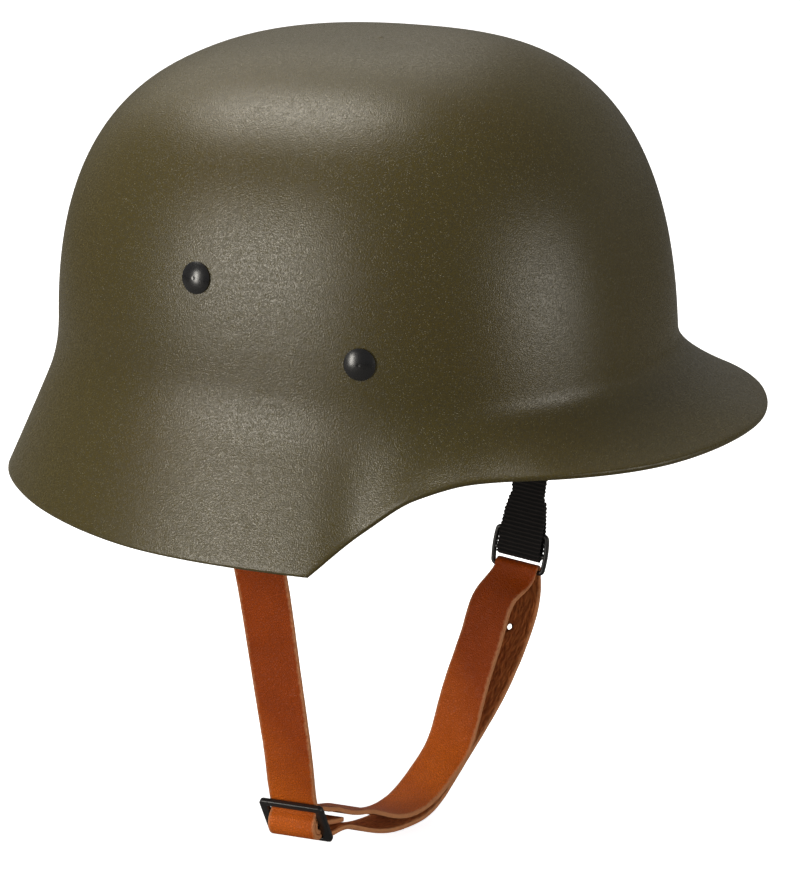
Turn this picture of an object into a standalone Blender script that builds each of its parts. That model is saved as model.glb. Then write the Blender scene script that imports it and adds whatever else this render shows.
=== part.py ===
"""Military helmet with a riveted shell and a leather chin strap, in metres.

The helmet is upright as it is worn: +Z is up, the visor points to -Y and the wearer's right is
-X. The origin is the top of the hollow, where the helmet sits on the head. Heights in the sizes
and tables below are measured from the ear corners of the shell's edge.
"""

import math
from collections import namedtuple

import bmesh
import bpy
import numpy as np
from mathutils import Matrix, Vector

# Shell
HALF_WIDTH = 0.100
FRONT_REACH = 0.1105
REAR_REACH = 0.126
HEIGHT = 0.1755
WALL = 0.0025
PLAN_POWER = 2.4
SIDE_POWER = 3.2
CROWN_POWER = 2.53

# Crease above the visor and the skirt, where the wall turns outwards
CREASE_HEIGHT = 0.0528
CREASE_SOFTNESS = 0.0121
CreaseRow = namedtuple("CreaseRow", "place height softness")
CREASE = (
    CreaseRow("front", 0.83, 1.37),
    CreaseRow("side", 1.00, 1.00),
    CreaseRow("rear", 1.06, 1.03),
)

# Edge of the shell: how far it stands out past the crease, and how high it lifts
VISOR_REACH = 0.040
EAR_FLARE = 0.0212
SKIRT_REACH = 0.0283
VISOR_LIFT = 0.0389
EAR_ANGLE = 79.2
EdgeRow = namedtuple("EdgeRow", "angle reach lift")
VISOR_EDGE = (
    EdgeRow(0.0, 1.00, 1.00),
    EdgeRow(19.5, 0.85, 0.97),
    EdgeRow(37.0, 0.63, 0.98),
    EdgeRow(51.0, 0.41, 0.93),
    EdgeRow(60.5, 0.395, 0.775),
    EdgeRow(69.5, 0.37, 0.433),
)
SKIRT_EDGE = (
    EdgeRow(110.0, 0.73, 0.02),
    EdgeRow(145.0, 0.68, 0.10),
    EdgeRow(180.0, 1.00, 0.07),
)

# Shell mesh
VISOR_COLUMNS = 15
SKIRT_COLUMNS = 17
DOME_ROWS = 13
FLARE_ROWS = 9
SHELL_OLIVE = (0.085, 0.078, 0.035)

# Rivets
RIVET_RADIUS = 0.0060
RIVET_RISE = 0.0019
RIVET_BRIM = 0.0006
DIMPLE_RADIUS = 0.0009
DIMPLE_DEPTH = 0.0005
SHANK_RADIUS = 0.0020
INNER_HEAD_RADIUS = 0.0046
INNER_HEAD_THICKNESS = 0.0014
RIVET_SIDES = 20
RIVET_DOME_STEPS = 4
RIVET_BLACK = (0.012, 0.012, 0.013)
FRONT_RIVET_ANGLE = 70.1
FRONT_RIVET_HEIGHT = 0.0757
REAR_RIVET_ANGLE = 108.2
REAR_RIVET_HEIGHT = 0.1017

# Radius of the wall's bend beside the rivets, as a share of HALF_WIDTH
BEND_SHARE = 0.667

# Gap kept between pieces that touch on the real helmet
CLEARANCE = 0.0003

# Leather strap
STRAP_WIDTH = 0.0195
STRAP_THICKNESS = 0.0018
STRAP_DROP = 0.143
STRAP_END = 0.009
FOLD_SHARE = 0.93
PUNCH_RADIUS = 0.0013
PUNCH_SIDES = 12
LEATHER_BROWN = (0.34, 0.10, 0.025)

# Elastic webbing
WEB_WIDTH = 0.0184
WEB_THICKNESS = 0.0012
WEB_END = 0.008
WEB_RETURN = 0.012
GATHER_SHARE = 0.79
WEB_BLACK = (0.010, 0.008, 0.008)

# Cut ends with their corners taken off: width at the end, and where the full width starts
END_WIDTH_SHARE = 0.75
END_CORNER_SHARE = 0.8

# How a strip is divided along its length
SAMPLE_STEP = 0.0003
LONGEST_STEP = 0.009
LARGEST_TURN = 18.0
WRAP_STEPS = 8
FOLD_STEPS = 6

# How far a hole's cutter reaches to each side, as a share of the strip's thickness
CUTTER_SHARE = 1.2

# Slider with three bars, the middle one a little below the middle and the lowest one narrower
SLIDER_BAR = 0.0027
SLIDER_LOWEST_BAR = 0.0018
SLIDER_MIDDLE_DROP = 0.0011
SLIDER_THICKNESS = 0.0022
SLIDER_SIDE = 0.0033
SLIDER_CORNER = 0.0016
SLOT_PLAY = 0.0013
SLIDER_TILT = 29.4
SLIDER_CORNER_STEPS = 4
HARDWARE_BLACK = (0.014, 0.014, 0.015)

# Leather bent over the middle bar: how far the bar's corners press into the bend, where the
# outer layer starts and ends on it, and how deep that layer lies in the slots
BAR_ROUNDING = 0.88
OUTER_WRAP = (5.0, 175.0)
INNER_WRAP = (0.0, 180.0)
SLOT_DEPTH_SHARE = 0.7

# Loop that joins the leather to the webbing
LOOP_HEIGHT = 0.0175
LOOP_WIRE = 0.0020
LOOP_BAR = 0.0020
LOOP_CORNER = 0.0013
LOOP_WIRE_SIDES = 10
LOOP_CORNER_STEPS = 5

# Places on the strap's way, side and fore as shares of HALF_WIDTH and drop of STRAP_DROP.
# turn is the angle of the strap's width to the fore and aft line, seen from above.
RunRow = namedtuple("RunRow", "side fore drop turn")
NEAR_RUN = (
    RunRow(-0.905, 0.250, -0.420, 2.0),
    RunRow(-0.870, 0.190, -0.150, -10.0),
    RunRow(-0.830, 0.145, 0.090, -16.0),
    RunRow(-0.790, 0.105, 0.400, -7.0),
    RunRow(-0.752, 0.082, 0.640, -2.0),
)
SLIDER_PLACE = RunRow(-0.664, 0.098, 0.830, 0.0)
OUTER_RUN = (
    RunRow(-0.520, 0.083, 0.877, 0.0),
    RunRow(-0.370, 0.077, 0.908, 0.0),
    RunRow(-0.140, 0.063, 0.973, 0.0),
    RunRow(0.050, 0.049, 1.000, 0.0),
    RunRow(0.232, 0.026, 0.995, 0.0),
    RunRow(0.400, -0.005, 0.928, 0.0),
    RunRow(0.545, -0.048, 0.838, 0.0),
    RunRow(0.664, -0.104, 0.732, 0.0),
    RunRow(0.790, -0.158, 0.572, 0.0),
    RunRow(0.838, -0.178, 0.475, 0.0),
)
INNER_RUN = (
    RunRow(0.755, -0.140, 0.462, 0.0),
    RunRow(0.680, -0.108, 0.560, 0.0),
    RunRow(0.605, -0.075, 0.671, 0.0),
    RunRow(0.543, -0.048, 0.771, 0.0),
    RunRow(0.469, -0.026, 0.874, 0.0),
    RunRow(0.385, -0.004, 0.922, 0.0),
    RunRow(0.232, 0.026, 0.972, 0.0),
    RunRow(0.050, 0.049, 0.972, 0.0),
    RunRow(-0.100, 0.060, 0.937, 0.0),
    RunRow(-0.250, 0.070, 0.890, 0.0),
    RunRow(-0.440, 0.080, 0.845, 0.0),
)
LOOP_PLACE = RunRow(0.850, -0.188, 0.352, 0.0)
CENTRE_BAR_SHARE = -0.04
PUNCH_ROW = 8

# Places behind the slider as shares of its pitch: down its frame and out of its face
SliderRow = namedtuple("SliderRow", "down out")
INNER_ENTRY = (
    SliderRow(0.90, -1.75),
    SliderRow(0.10, -1.05),
    SliderRow(-0.42, -0.50),
)
TUCKED_END = (
    SliderRow(0.39, -0.32),
    SliderRow(0.61, -0.68),
    SliderRow(0.96, -1.05),
    SliderRow(1.33, -1.41),
    SliderRow(1.73, -1.87),
)

# Webbing above the loop: rise as a share of WEB_RETURN and share of the full width
WebRow = namedtuple("WebRow", "rise share")
WEB_DOWN = (
    WebRow(2.6, GATHER_SHARE),
    WebRow(1.2, GATHER_SHARE),
    WebRow(0.5, 0.97),
)
WEB_UP = (
    WebRow(0.5, 0.95),
    WebRow(1.0, 0.84),
)


def cosine_blend(front, side, rear, angle):
    """Reads a smooth value at an angle from the front, flat at the front and the rear."""
    second = ((front + rear) / 2 - side) / 2
    return side + second + (front - rear) / 2 * math.cos(angle) + second * math.cos(2 * angle)


def crease_at(angle):
    """Height of the crease and its softness at an angle from the front."""
    front, side, rear = CREASE
    height = cosine_blend(front.height, side.height, rear.height, angle) * CREASE_HEIGHT
    softness = cosine_blend(front.softness, side.softness, rear.softness, angle) * CREASE_SOFTNESS
    return height, softness


def smooth_curve(knots, values, at):
    """Cubic curve through the knots that never passes above or below its neighbours."""
    knots = np.asarray(knots, float)
    values = np.asarray(values, float)
    step = np.diff(knots)
    slope = np.diff(values) / step
    tangent = np.zeros_like(values)
    for k in range(1, len(knots) - 1):
        if slope[k - 1] * slope[k] > 0:
            first = 2 * step[k] + step[k - 1]
            last = step[k] + 2 * step[k - 1]
            tangent[k] = (first + last) / (first / slope[k - 1] + last / slope[k])
    tangent[0] = 0.0 if knots[0] == 0 else slope[0]
    tangent[-1] = 0.0 if knots[-1] == 180 else slope[-1]
    k = int(np.clip(np.searchsorted(knots, at, side="right") - 1, 0, len(step) - 1))
    t = (at - knots[k]) / step[k]
    rise = values[k + 1] - values[k]
    blend = t * t * (3 - 2 * t)
    start = step[k] * tangent[k] * t * (1 - t) ** 2
    end = step[k] * tangent[k + 1] * t * t * (t - 1)
    return values[k] + rise * blend + start + end


def edge_at(degrees):
    """How far the shell's edge stands out and how high it lies, from the front round one side."""
    visor = degrees <= EAR_ANGLE
    rows = VISOR_EDGE if visor else SKIRT_EDGE
    reach = VISOR_REACH if visor else SKIRT_REACH
    angles = [row.angle for row in rows]
    reaches = [row.reach * reach for row in rows]
    lifts = [row.lift * VISOR_LIFT for row in rows]
    corner = len(rows) if visor else 0
    angles.insert(corner, EAR_ANGLE)
    reaches.insert(corner, EAR_FLARE)
    lifts.insert(corner, 0.0)
    return smooth_curve(angles, reaches, degrees), smooth_curve(angles, lifts, degrees)


def plan_radius(angle):
    """Distance from the middle to the wall at the crease."""
    reach = FRONT_REACH if math.cos(angle) > 0 else REAR_REACH
    ahead = abs(math.cos(angle)) / reach
    aside = abs(math.sin(angle)) / HALF_WIDTH
    return (ahead ** PLAN_POWER + aside ** PLAN_POWER) ** (-1 / PLAN_POWER)


def flare_ramp(depth, softness):
    """Rounded ramp that starts at a softness above the crease and runs straight below it."""
    if depth <= -softness:
        return 0.0
    if depth >= softness:
        return depth
    return (depth + softness) ** 2 / (4 * softness)


def wall_radius(degrees, height):
    """Distance of the outer wall from the Z axis at an angle from the front and a height."""
    angle = math.radians(degrees)
    crease, softness = crease_at(angle)
    reach, lift = edge_at(degrees)
    dome = min(max((height - crease) / (HEIGHT - crease), 0.0), 1.0)
    radius = plan_radius(angle) * (1 - dome ** CROWN_POWER) ** (1 / SIDE_POWER)
    full = flare_ramp(crease - lift, softness)
    return radius + reach * flare_ramp(crease - height, softness) / full


def wall_point(degrees, height, side):
    """Point of the outer wall, side -1 for the wearer's right and +1 for the left."""
    radius = wall_radius(degrees, height)
    angle = math.radians(degrees)
    return Vector((side * radius * math.sin(angle), -radius * math.cos(angle), height))


def wall_normal(degrees, height, side):
    """Outward direction of the outer wall."""
    step = 0.5
    rise = 0.0005
    along = wall_point(degrees + step, height, side) - wall_point(degrees - step, height, side)
    up = wall_point(degrees, height + rise, side) - wall_point(degrees, height - rise, side)
    normal = along.cross(up).normalized()
    outward = Vector((side * math.sin(math.radians(degrees)), -math.cos(math.radians(degrees)), 0))
    return normal if normal.dot(outward) > 0 else -normal


def column_angles():
    """Angles of the shell's columns on one side, with one column on the ear corner."""
    visor = [EAR_ANGLE * k / VISOR_COLUMNS for k in range(VISOR_COLUMNS)]
    rest = 180.0 - EAR_ANGLE
    return visor + [EAR_ANGLE + rest * k / SKIRT_COLUMNS for k in range(SKIRT_COLUMNS + 1)]


def column_heights(degrees):
    """Heights of one column's points, from just below the crown to the edge."""
    crease, softness = crease_at(math.radians(degrees))
    lift = edge_at(degrees)[1]
    start = crease + softness
    share = (softness / (HEIGHT - crease)) ** (CROWN_POWER / 2)
    last = math.acos(share)
    dome = []
    for k in range(1, DOME_ROWS + 1):
        turn = last * k / DOME_ROWS
        dome.append(crease + (HEIGHT - crease) * math.cos(turn) ** (2 / CROWN_POWER))
    flare = [start + (lift - start) * k / FLARE_ROWS for k in range(1, FLARE_ROWS + 1)]
    return dome + flare


def new_object(name, mesh):
    """Adds an object that holds the mesh to the scene."""
    piece = bpy.data.objects.new(name, mesh)
    bpy.context.scene.collection.objects.link(piece)
    return piece


def new_mesh(name, points, faces):
    """Makes a mesh of the faces as they are given."""
    mesh = bpy.data.meshes.new(name)
    mesh.from_pydata([tuple(p) for p in points], [], faces)
    return mesh


def mesh_from(name, points, faces):
    """Makes a mesh whose faces all point outwards."""
    mesh = new_mesh(name, points, faces)
    shape = bmesh.new()
    shape.from_mesh(mesh)
    bmesh.ops.recalc_face_normals(shape, faces=shape.faces)
    shape.to_mesh(mesh)
    shape.free()
    return mesh


def finish(piece, colour, roughness, metallic=0.0, smooth_angle=35.0):
    """Gives a piece its own material and shades its round faces smooth."""
    material = bpy.data.materials.new(piece.name)
    material.use_nodes = True
    shader = material.node_tree.nodes["Principled BSDF"]
    shader.inputs["Base Color"].default_value = (*colour, 1.0)
    shader.inputs["Roughness"].default_value = roughness
    shader.inputs["Metallic"].default_value = metallic
    piece.data.materials.append(material)
    piece.data.shade_smooth()
    piece.data.set_sharp_from_angle(angle=math.radians(smooth_angle))
    return piece


def mark_cutter(piece):
    """Keeps a cutter out of renders and shows it as a wire."""
    piece.hide_render = True
    piece.display_type = "WIRE"
    return piece


def cut(piece, cutter):
    """Cuts one piece with a cutter."""
    boolean = piece.modifiers.new("cut", "BOOLEAN")
    boolean.operation = "DIFFERENCE"
    boolean.object = cutter


def shell_skin():
    """Outer skin of the shell: one column for each angle, joined at the crown."""
    right = column_angles()
    columns = [(degrees, -1) for degrees in right]
    columns += [(degrees, 1) for degrees in reversed(right[1:-1])]
    points = [Vector((0.0, 0.0, HEIGHT))]
    for degrees, side in columns:
        points += [wall_point(degrees, height, side) for height in column_heights(degrees)]
    rows = DOME_ROWS + FLARE_ROWS
    count = len(columns)
    faces = []
    for c in range(count):
        here = 1 + c * rows
        beside = 1 + (c + 1) % count * rows
        faces.append((0, beside, here))
        for r in range(rows - 1):
            faces.append((beside + r, beside + r + 1, here + r + 1, here + r))
    return new_mesh("helmet_shell", points, faces)


RivetPlace = namedtuple("RivetPlace", "name degrees height side holds")
RIVETS = (
    RivetPlace("rivet_front_right", FRONT_RIVET_ANGLE, FRONT_RIVET_HEIGHT, -1, 0.0),
    RivetPlace("rivet_front_left", FRONT_RIVET_ANGLE, FRONT_RIVET_HEIGHT, 1, WEB_THICKNESS),
    RivetPlace("rivet_rear_right", REAR_RIVET_ANGLE, REAR_RIVET_HEIGHT, -1, STRAP_THICKNESS),
    RivetPlace("rivet_rear_left", REAR_RIVET_ANGLE, REAR_RIVET_HEIGHT, 1, 0.0),
)


def wall_sag(reach):
    """How far the curved wall comes inwards at a reach to the side of a rivet."""
    return reach * reach / (2 * BEND_SHARE * HALF_WIDTH)


def held_depth(width):
    """Depth of the near face of a strap that is held flat against the inner wall."""
    return WALL + CLEARANCE + wall_sag(width / 2)


def rivet_depth(place):
    """Depth of the inner head's near face below the outer wall."""
    if place.holds == 0.0:
        return WALL + CLEARANCE + wall_sag(INNER_HEAD_RADIUS)
    width = WEB_WIDTH * GATHER_SHARE if place.holds == WEB_THICKNESS else STRAP_WIDTH
    return held_depth(width) + place.holds + CLEARANCE


def rivet_frame(place):
    """Matrix whose Z axis points out of the wall at a rivet, Y up along the wall."""
    origin = wall_point(place.degrees, place.height, place.side)
    normal = wall_normal(place.degrees, place.height, place.side)
    aside = Vector((0, 0, 1)).cross(normal).normalized()
    up = normal.cross(aside)
    frame = Matrix((aside, up, normal)).transposed().to_4x4()
    frame.translation = origin
    return frame


def rivet(place):
    """Domed rivet with a dimple, a shank through the wall and a flat inner head."""
    depth = rivet_depth(place)
    profile = [(0.0, RIVET_RISE - DIMPLE_DEPTH), (DIMPLE_RADIUS, RIVET_RISE)]
    for k in range(1, RIVET_DOME_STEPS + 1):
        turn = math.pi / 2 * k / RIVET_DOME_STEPS
        profile.append((DIMPLE_RADIUS + (RIVET_RADIUS - DIMPLE_RADIUS) * math.sin(turn),
                        RIVET_BRIM + (RIVET_RISE - RIVET_BRIM) * math.cos(turn)))
    profile += [
        (RIVET_RADIUS, CLEARANCE),
        (SHANK_RADIUS, CLEARANCE),
        (SHANK_RADIUS, -depth),
        (INNER_HEAD_RADIUS, -depth),
        (INNER_HEAD_RADIUS, -depth - INNER_HEAD_THICKNESS),
        (0.0, -depth - INNER_HEAD_THICKNESS),
    ]
    frame = rivet_frame(place)
    points = [frame @ Vector((0, 0, profile[0][1])), frame @ Vector((0, 0, profile[-1][1]))]
    rings = profile[1:-1]
    for s in range(RIVET_SIDES):
        turn = 2 * math.pi * s / RIVET_SIDES
        for radius, rise in rings:
            points.append(frame @ Vector((radius * math.cos(turn), radius * math.sin(turn), rise)))
    faces = []
    count = len(rings)
    for s in range(RIVET_SIDES):
        here = 2 + s * count
        beside = 2 + (s + 1) % RIVET_SIDES * count
        faces.append((0, here, beside))
        faces.append((1, beside + count - 1, here + count - 1))
        for r in range(count - 1):
            faces.append((here + r, here + r + 1, beside + r + 1, beside + r))
    piece = new_object(place.name, mesh_from(place.name, points, faces))
    return finish(piece, RIVET_BLACK, 0.35)


def hole_cutter(name, places, radius, sides, reach):
    """One cutter with a round bar at each place, given as point and direction."""
    shape = bmesh.new()
    for point, direction in places:
        turn = direction.to_track_quat("Z", "Y").to_matrix().to_4x4()
        turn.translation = point
        bmesh.ops.create_cone(shape, cap_ends=True, segments=sides, radius1=radius,
                              radius2=radius, depth=2 * reach, matrix=turn)
    mesh = bpy.data.meshes.new(name)
    shape.to_mesh(mesh)
    shape.free()
    return mark_cutter(new_object(name, mesh))


def shell():
    """Shell with an even wall and a hole for each rivet."""
    piece = new_object("helmet_shell", shell_skin())
    wall = piece.modifiers.new("wall", "SOLIDIFY")
    wall.thickness = WALL
    wall.offset = -1.0
    wall.use_even_offset = True
    places = []
    for place in RIVETS:
        frame = rivet_frame(place)
        places.append((frame.translation, frame.col[2].to_3d()))
    cut(piece, hole_cutter("rivet_holes", places, SHANK_RADIUS + CLEARANCE, RIVET_SIDES, 4 * WALL))
    return finish(piece, SHELL_OLIVE, 0.55)


def run_point(row):
    """Point of a row on the strap's way."""
    return Vector((row.side * HALF_WIDTH, row.fore * HALF_WIDTH, -row.drop * STRAP_DROP))


def run_width(row):
    """Direction of the strap's width at a row, towards the front."""
    turn = math.radians(row.turn)
    return Vector((-math.sin(turn), -math.cos(turn), 0.0))


# One place on a ribbon's centre line: point, width direction and share of the full width
Place = namedtuple("Place", "point width share")


def slider_axes():
    """Slider's directions: down its frame, out of its face and along its bars."""
    tilt = math.radians(SLIDER_TILT)
    down = Vector((math.sin(tilt), 0.0, -math.cos(tilt)))
    out = Vector((-math.cos(tilt), 0.0, -math.sin(tilt)))
    return down, out, Vector((0.0, -1.0, 0.0))


def slider_pitch():
    """Mean distance between two bars, with room for two layers of leather between them."""
    return SLIDER_BAR + 2 * STRAP_THICKNESS + 3 * CLEARANCE + SLOT_PLAY


def slider_slots():
    """First and last edge of each slot, counted down the frame from the middle bar."""
    above = slider_pitch() + SLIDER_MIDDLE_DROP - SLIDER_BAR / 2
    below = slider_pitch() - SLIDER_MIDDLE_DROP - SLIDER_LOWEST_BAR / 2
    return (-above, -SLIDER_BAR / 2), (SLIDER_BAR / 2, below)


def slider_place(along, out):
    """Ribbon place in the slider's frame."""
    down, face, bars = slider_axes()
    return Place(run_point(SLIDER_PLACE) + down * along + face * out, bars, 1.0)


def around_bar(radius, wrap):
    """Places on an arc round the slider's middle bar, angle 0 up the frame, 90 at its face."""
    first, last = wrap
    places = []
    for k in range(WRAP_STEPS + 1):
        turn = math.radians(first + (last - first) * k / WRAP_STEPS)
        places.append(slider_place(-radius * math.cos(turn), radius * math.sin(turn)))
    return places


def bar_wrap_radius(layer):
    """Radius of a leather layer's centre line round the slider's middle bar."""
    corner = math.hypot(SLIDER_BAR, SLIDER_THICKNESS) / 2 * BAR_ROUNDING
    return corner + CLEARANCE + STRAP_THICKNESS / 2 + layer * (STRAP_THICKNESS + CLEARANCE)


def loop_axes():
    """Directions of the strap loop: up its frame, out of its face and along its bars."""
    anchor = rivet_frame(RIVETS[1]).translation
    up = (anchor - run_point(LOOP_PLACE)).normalized()
    bars = up.cross(Vector((1.0, 0.0, 0.0))).normalized()
    if bars.y > 0:
        bars = -bars
    out = bars.cross(up).normalized()
    if out.x < 0:
        out = -out
    return up, out, bars


def loop_half_height():
    """Distance from the loop's middle to the centre line of its end bars."""
    return (LOOP_HEIGHT - LOOP_WIRE) / 2


def loop_place(rise, out, share=1.0):
    """Ribbon place in the strap loop's frame."""
    up, face, bars = loop_axes()
    return Place(run_point(LOOP_PLACE) + up * rise + face * out, bars, share)


def around_loop_bar(centre, radius, first, last, steps, share=1.0):
    """Places on an arc round one of the loop's bars, angle 0 at its face, 90 up the frame."""
    places = []
    for k in range(steps + 1):
        turn = math.radians(first + (last - first) * k / steps)
        rise = centre + radius * math.sin(turn)
        places.append(loop_place(rise, radius * math.cos(turn), share))
    return places


def anchor_places(place, width, thickness, end, share=1.0):
    """First places of a ribbon that a rivet holds, from its cut end down past the rivet."""
    frame = rivet_frame(place)
    up = frame.col[1].to_3d()
    normal = frame.col[2].to_3d()
    across = frame.col[0].to_3d()
    if across.y > 0:
        across = -across
    middle = frame.translation - normal * (held_depth(width * share) + thickness / 2)
    return [
        Place(middle + up * end, across, share * END_WIDTH_SHARE),
        Place(middle + up * end * END_CORNER_SHARE, across, share),
        Place(middle, across, share),
        Place(middle - up * end, across, share),
    ]


def run_places(rows):
    """Ribbon places of a table's rows."""
    return [Place(run_point(row), run_width(row), 1.0) for row in rows]


def strap_places():
    """Leather strap from the rear right rivet through the slider to the loop and back."""
    pitch = slider_pitch()
    behind = -(SLIDER_THICKNESS / 2 + 2 * CLEARANCE + STRAP_THICKNESS / 2)
    (above, _), (_, below) = slider_slots()
    beside = CLEARANCE + STRAP_THICKNESS / 2
    half = loop_half_height()
    fold = LOOP_WIRE / 2 + CLEARANCE + STRAP_THICKNESS / 2
    places = anchor_places(RIVETS[2], STRAP_WIDTH, STRAP_THICKNESS, STRAP_END)
    places += run_places(NEAR_RUN)
    in_slot = SLOT_DEPTH_SHARE * behind
    places += [slider_place(above - SLIDER_BAR / 2, behind), slider_place(above + beside, in_slot)]
    places += around_bar(bar_wrap_radius(1), OUTER_WRAP)
    past = below + SLIDER_LOWEST_BAR / 2
    places += [slider_place(below - beside, in_slot), slider_place(past, behind)]
    places += run_places(OUTER_RUN)
    places += around_loop_bar(-half, fold, 0, 180, FOLD_STEPS, FOLD_SHARE)
    places += run_places(INNER_RUN)
    places += [slider_place(row.down * pitch, row.out * pitch) for row in INNER_ENTRY]
    places += around_bar(bar_wrap_radius(0), INNER_WRAP)
    places += [slider_place(row.down * pitch, row.out * pitch) for row in TUCKED_END]
    return places


def web_places():
    """Webbing from the front left rivet down round the loop's middle bar and up again."""
    half = loop_half_height()
    wrap = LOOP_BAR / 2 + CLEARANCE + WEB_THICKNESS / 2
    past = LOOP_WIRE / 2 + CLEARANCE + WEB_THICKNESS / 2
    centre = CENTRE_BAR_SHARE * LOOP_HEIGHT
    layers = WEB_THICKNESS + CLEARANCE
    above = half + LOOP_WIRE
    places = anchor_places(RIVETS[1], WEB_WIDTH, WEB_THICKNESS, WEB_END, GATHER_SHARE)
    for row in WEB_DOWN:
        places.append(loop_place(above + row.rise * WEB_RETURN, -layers / 2, row.share))
    places.append(loop_place(half, -past, 1.0))
    places += around_loop_bar(centre, wrap, -180, 0, WRAP_STEPS)
    places.append(loop_place(half, past, 1.0))
    for row in WEB_UP:
        places.append(loop_place(above + row.rise * WEB_RETURN, layers / 2, row.share))
    return places


def spline_through(knots, rows, at):
    """Natural cubic spline through rows of numbers, read at the given knots."""
    count = len(knots)
    step = np.diff(knots)
    system = np.zeros((count, count))
    right = np.zeros((count, rows.shape[1]))
    system[0, 0] = 1.0
    system[-1, -1] = 1.0
    for k in range(1, count - 1):
        system[k, k - 1] = step[k - 1]
        system[k, k] = 2 * (step[k - 1] + step[k])
        system[k, k + 1] = step[k]
        right[k] = 6 * ((rows[k + 1] - rows[k]) / step[k] - (rows[k] - rows[k - 1]) / step[k - 1])
    bend = np.linalg.solve(system, right)
    k = np.clip(np.searchsorted(knots, at, side="right") - 1, 0, count - 2)
    width = step[k][:, None]
    b = ((at - knots[k]) / step[k])[:, None]
    a = 1 - b
    line = a * rows[k] + b * rows[k + 1]
    return line + ((a ** 3 - a) * bend[k] + (b ** 3 - b) * bend[k + 1]) * width ** 2 / 6


def ribbon_sections(places):
    """Smooth sections along a ribbon, closer together where it turns."""
    points = np.array([tuple(p.point) for p in places])
    knots = np.concatenate([[0.0], np.cumsum(np.linalg.norm(np.diff(points, axis=0), axis=1))])
    at = np.linspace(0, knots[-1], int(knots[-1] / SAMPLE_STEP))
    line = spline_through(knots, points, at)
    tangents = np.gradient(line, axis=0)
    tangents /= np.linalg.norm(tangents, axis=1)[:, None]
    widths = np.stack([np.interp(at, knots, [p.width[k] for p in places]) for k in range(3)], 1)
    shares = np.interp(at, knots, [p.share for p in places])
    chosen = [0]
    for k in range(1, len(at)):
        turn = math.degrees(math.acos(min(1.0, float(tangents[k] @ tangents[chosen[-1]]))))
        if turn > LARGEST_TURN or at[k] - at[chosen[-1]] > LONGEST_STEP:
            chosen.append(k)
    if at[-1] - at[chosen[-1]] < SAMPLE_STEP * 4:
        chosen.pop()
    chosen.append(len(at) - 1)
    sections = []
    for k in chosen:
        tangent = Vector(tangents[k])
        width = Vector(widths[k])
        width = (width - tangent * width.dot(tangent)).normalized()
        sections.append((Vector(line[k]), width, tangent.cross(width), float(shares[k])))
    return sections


def ribbon(name, places, width, thickness):
    """Closed strip of even thickness along the places."""
    sections = ribbon_sections(places)
    points = []
    for point, across, normal, share in sections:
        half = across * (width * share / 2)
        deep = normal * (thickness / 2)
        points += [point - half - deep, point + half - deep, point + half + deep, point - half + deep]
    faces = [(0, 1, 2, 3)]
    for k in range(len(sections) - 1):
        for c in range(4):
            after = (c + 1) % 4
            faces.append((4 * k + c, 4 * k + 4 + c, 4 * k + 4 + after, 4 * k + after))
    last = 4 * len(sections) - 4
    faces.append((last + 3, last + 2, last + 1, last))
    return new_object(name, mesh_from(name, points, faces))


def chin_strap():
    """Leather strap with the rivet's hole and the punched holes."""
    piece = ribbon("chin_strap", strap_places(), STRAP_WIDTH, STRAP_THICKNESS)
    frame = rivet_frame(RIVETS[2])
    depth = held_depth(STRAP_WIDTH) + STRAP_THICKNESS / 2
    normal = frame.col[2].to_3d()
    anchor = [(frame.translation - normal * depth, normal)]
    reach = CUTTER_SHARE * STRAP_THICKNESS
    cut(piece, hole_cutter("strap_anchor_hole", anchor, SHANK_RADIUS + CLEARANCE,
                           RIVET_SIDES, reach))
    before, row, after = [run_point(OUTER_RUN[PUNCH_ROW + k]) for k in (-1, 0, 1)]
    across = (after - before).cross(run_width(OUTER_RUN[PUNCH_ROW])).normalized()
    cut(piece, hole_cutter("strap_punch", [(row, across)], PUNCH_RADIUS, PUNCH_SIDES, reach))
    return finish(piece, LEATHER_BROWN, 0.5)


def elastic_webbing():
    """Webbing with a hole for the front left rivet."""
    piece = ribbon("elastic_webbing", web_places(), WEB_WIDTH, WEB_THICKNESS)
    frame = rivet_frame(RIVETS[1])
    depth = held_depth(WEB_WIDTH * GATHER_SHARE) + WEB_THICKNESS / 2
    normal = frame.col[2].to_3d()
    anchor = [(frame.translation - normal * depth, normal)]
    cut(piece, hole_cutter("web_anchor_hole", anchor, SHANK_RADIUS + CLEARANCE,
                           RIVET_SIDES, CUTTER_SHARE * WEB_THICKNESS))
    return finish(piece, WEB_BLACK, 0.9)


def box_mesh(name, boxes, corner=0.0):
    """Boxes of the given centres and sizes, with their upright edges rounded."""
    shape = bmesh.new()
    for centre, size in boxes:
        made = bmesh.ops.create_cube(shape, size=1.0)
        bmesh.ops.scale(shape, vec=size, verts=made["verts"])
        bmesh.ops.translate(shape, vec=centre, verts=made["verts"])
    if corner:
        upright = [e for e in shape.edges if abs((e.verts[0].co - e.verts[1].co).normalized().z) > 0.5]
        bmesh.ops.bevel(shape, geom=upright, offset=corner, segments=SLIDER_CORNER_STEPS,
                        profile=0.5, affect="EDGES")
    mesh = bpy.data.meshes.new(name)
    shape.to_mesh(mesh)
    shape.free()
    return mesh


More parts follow.
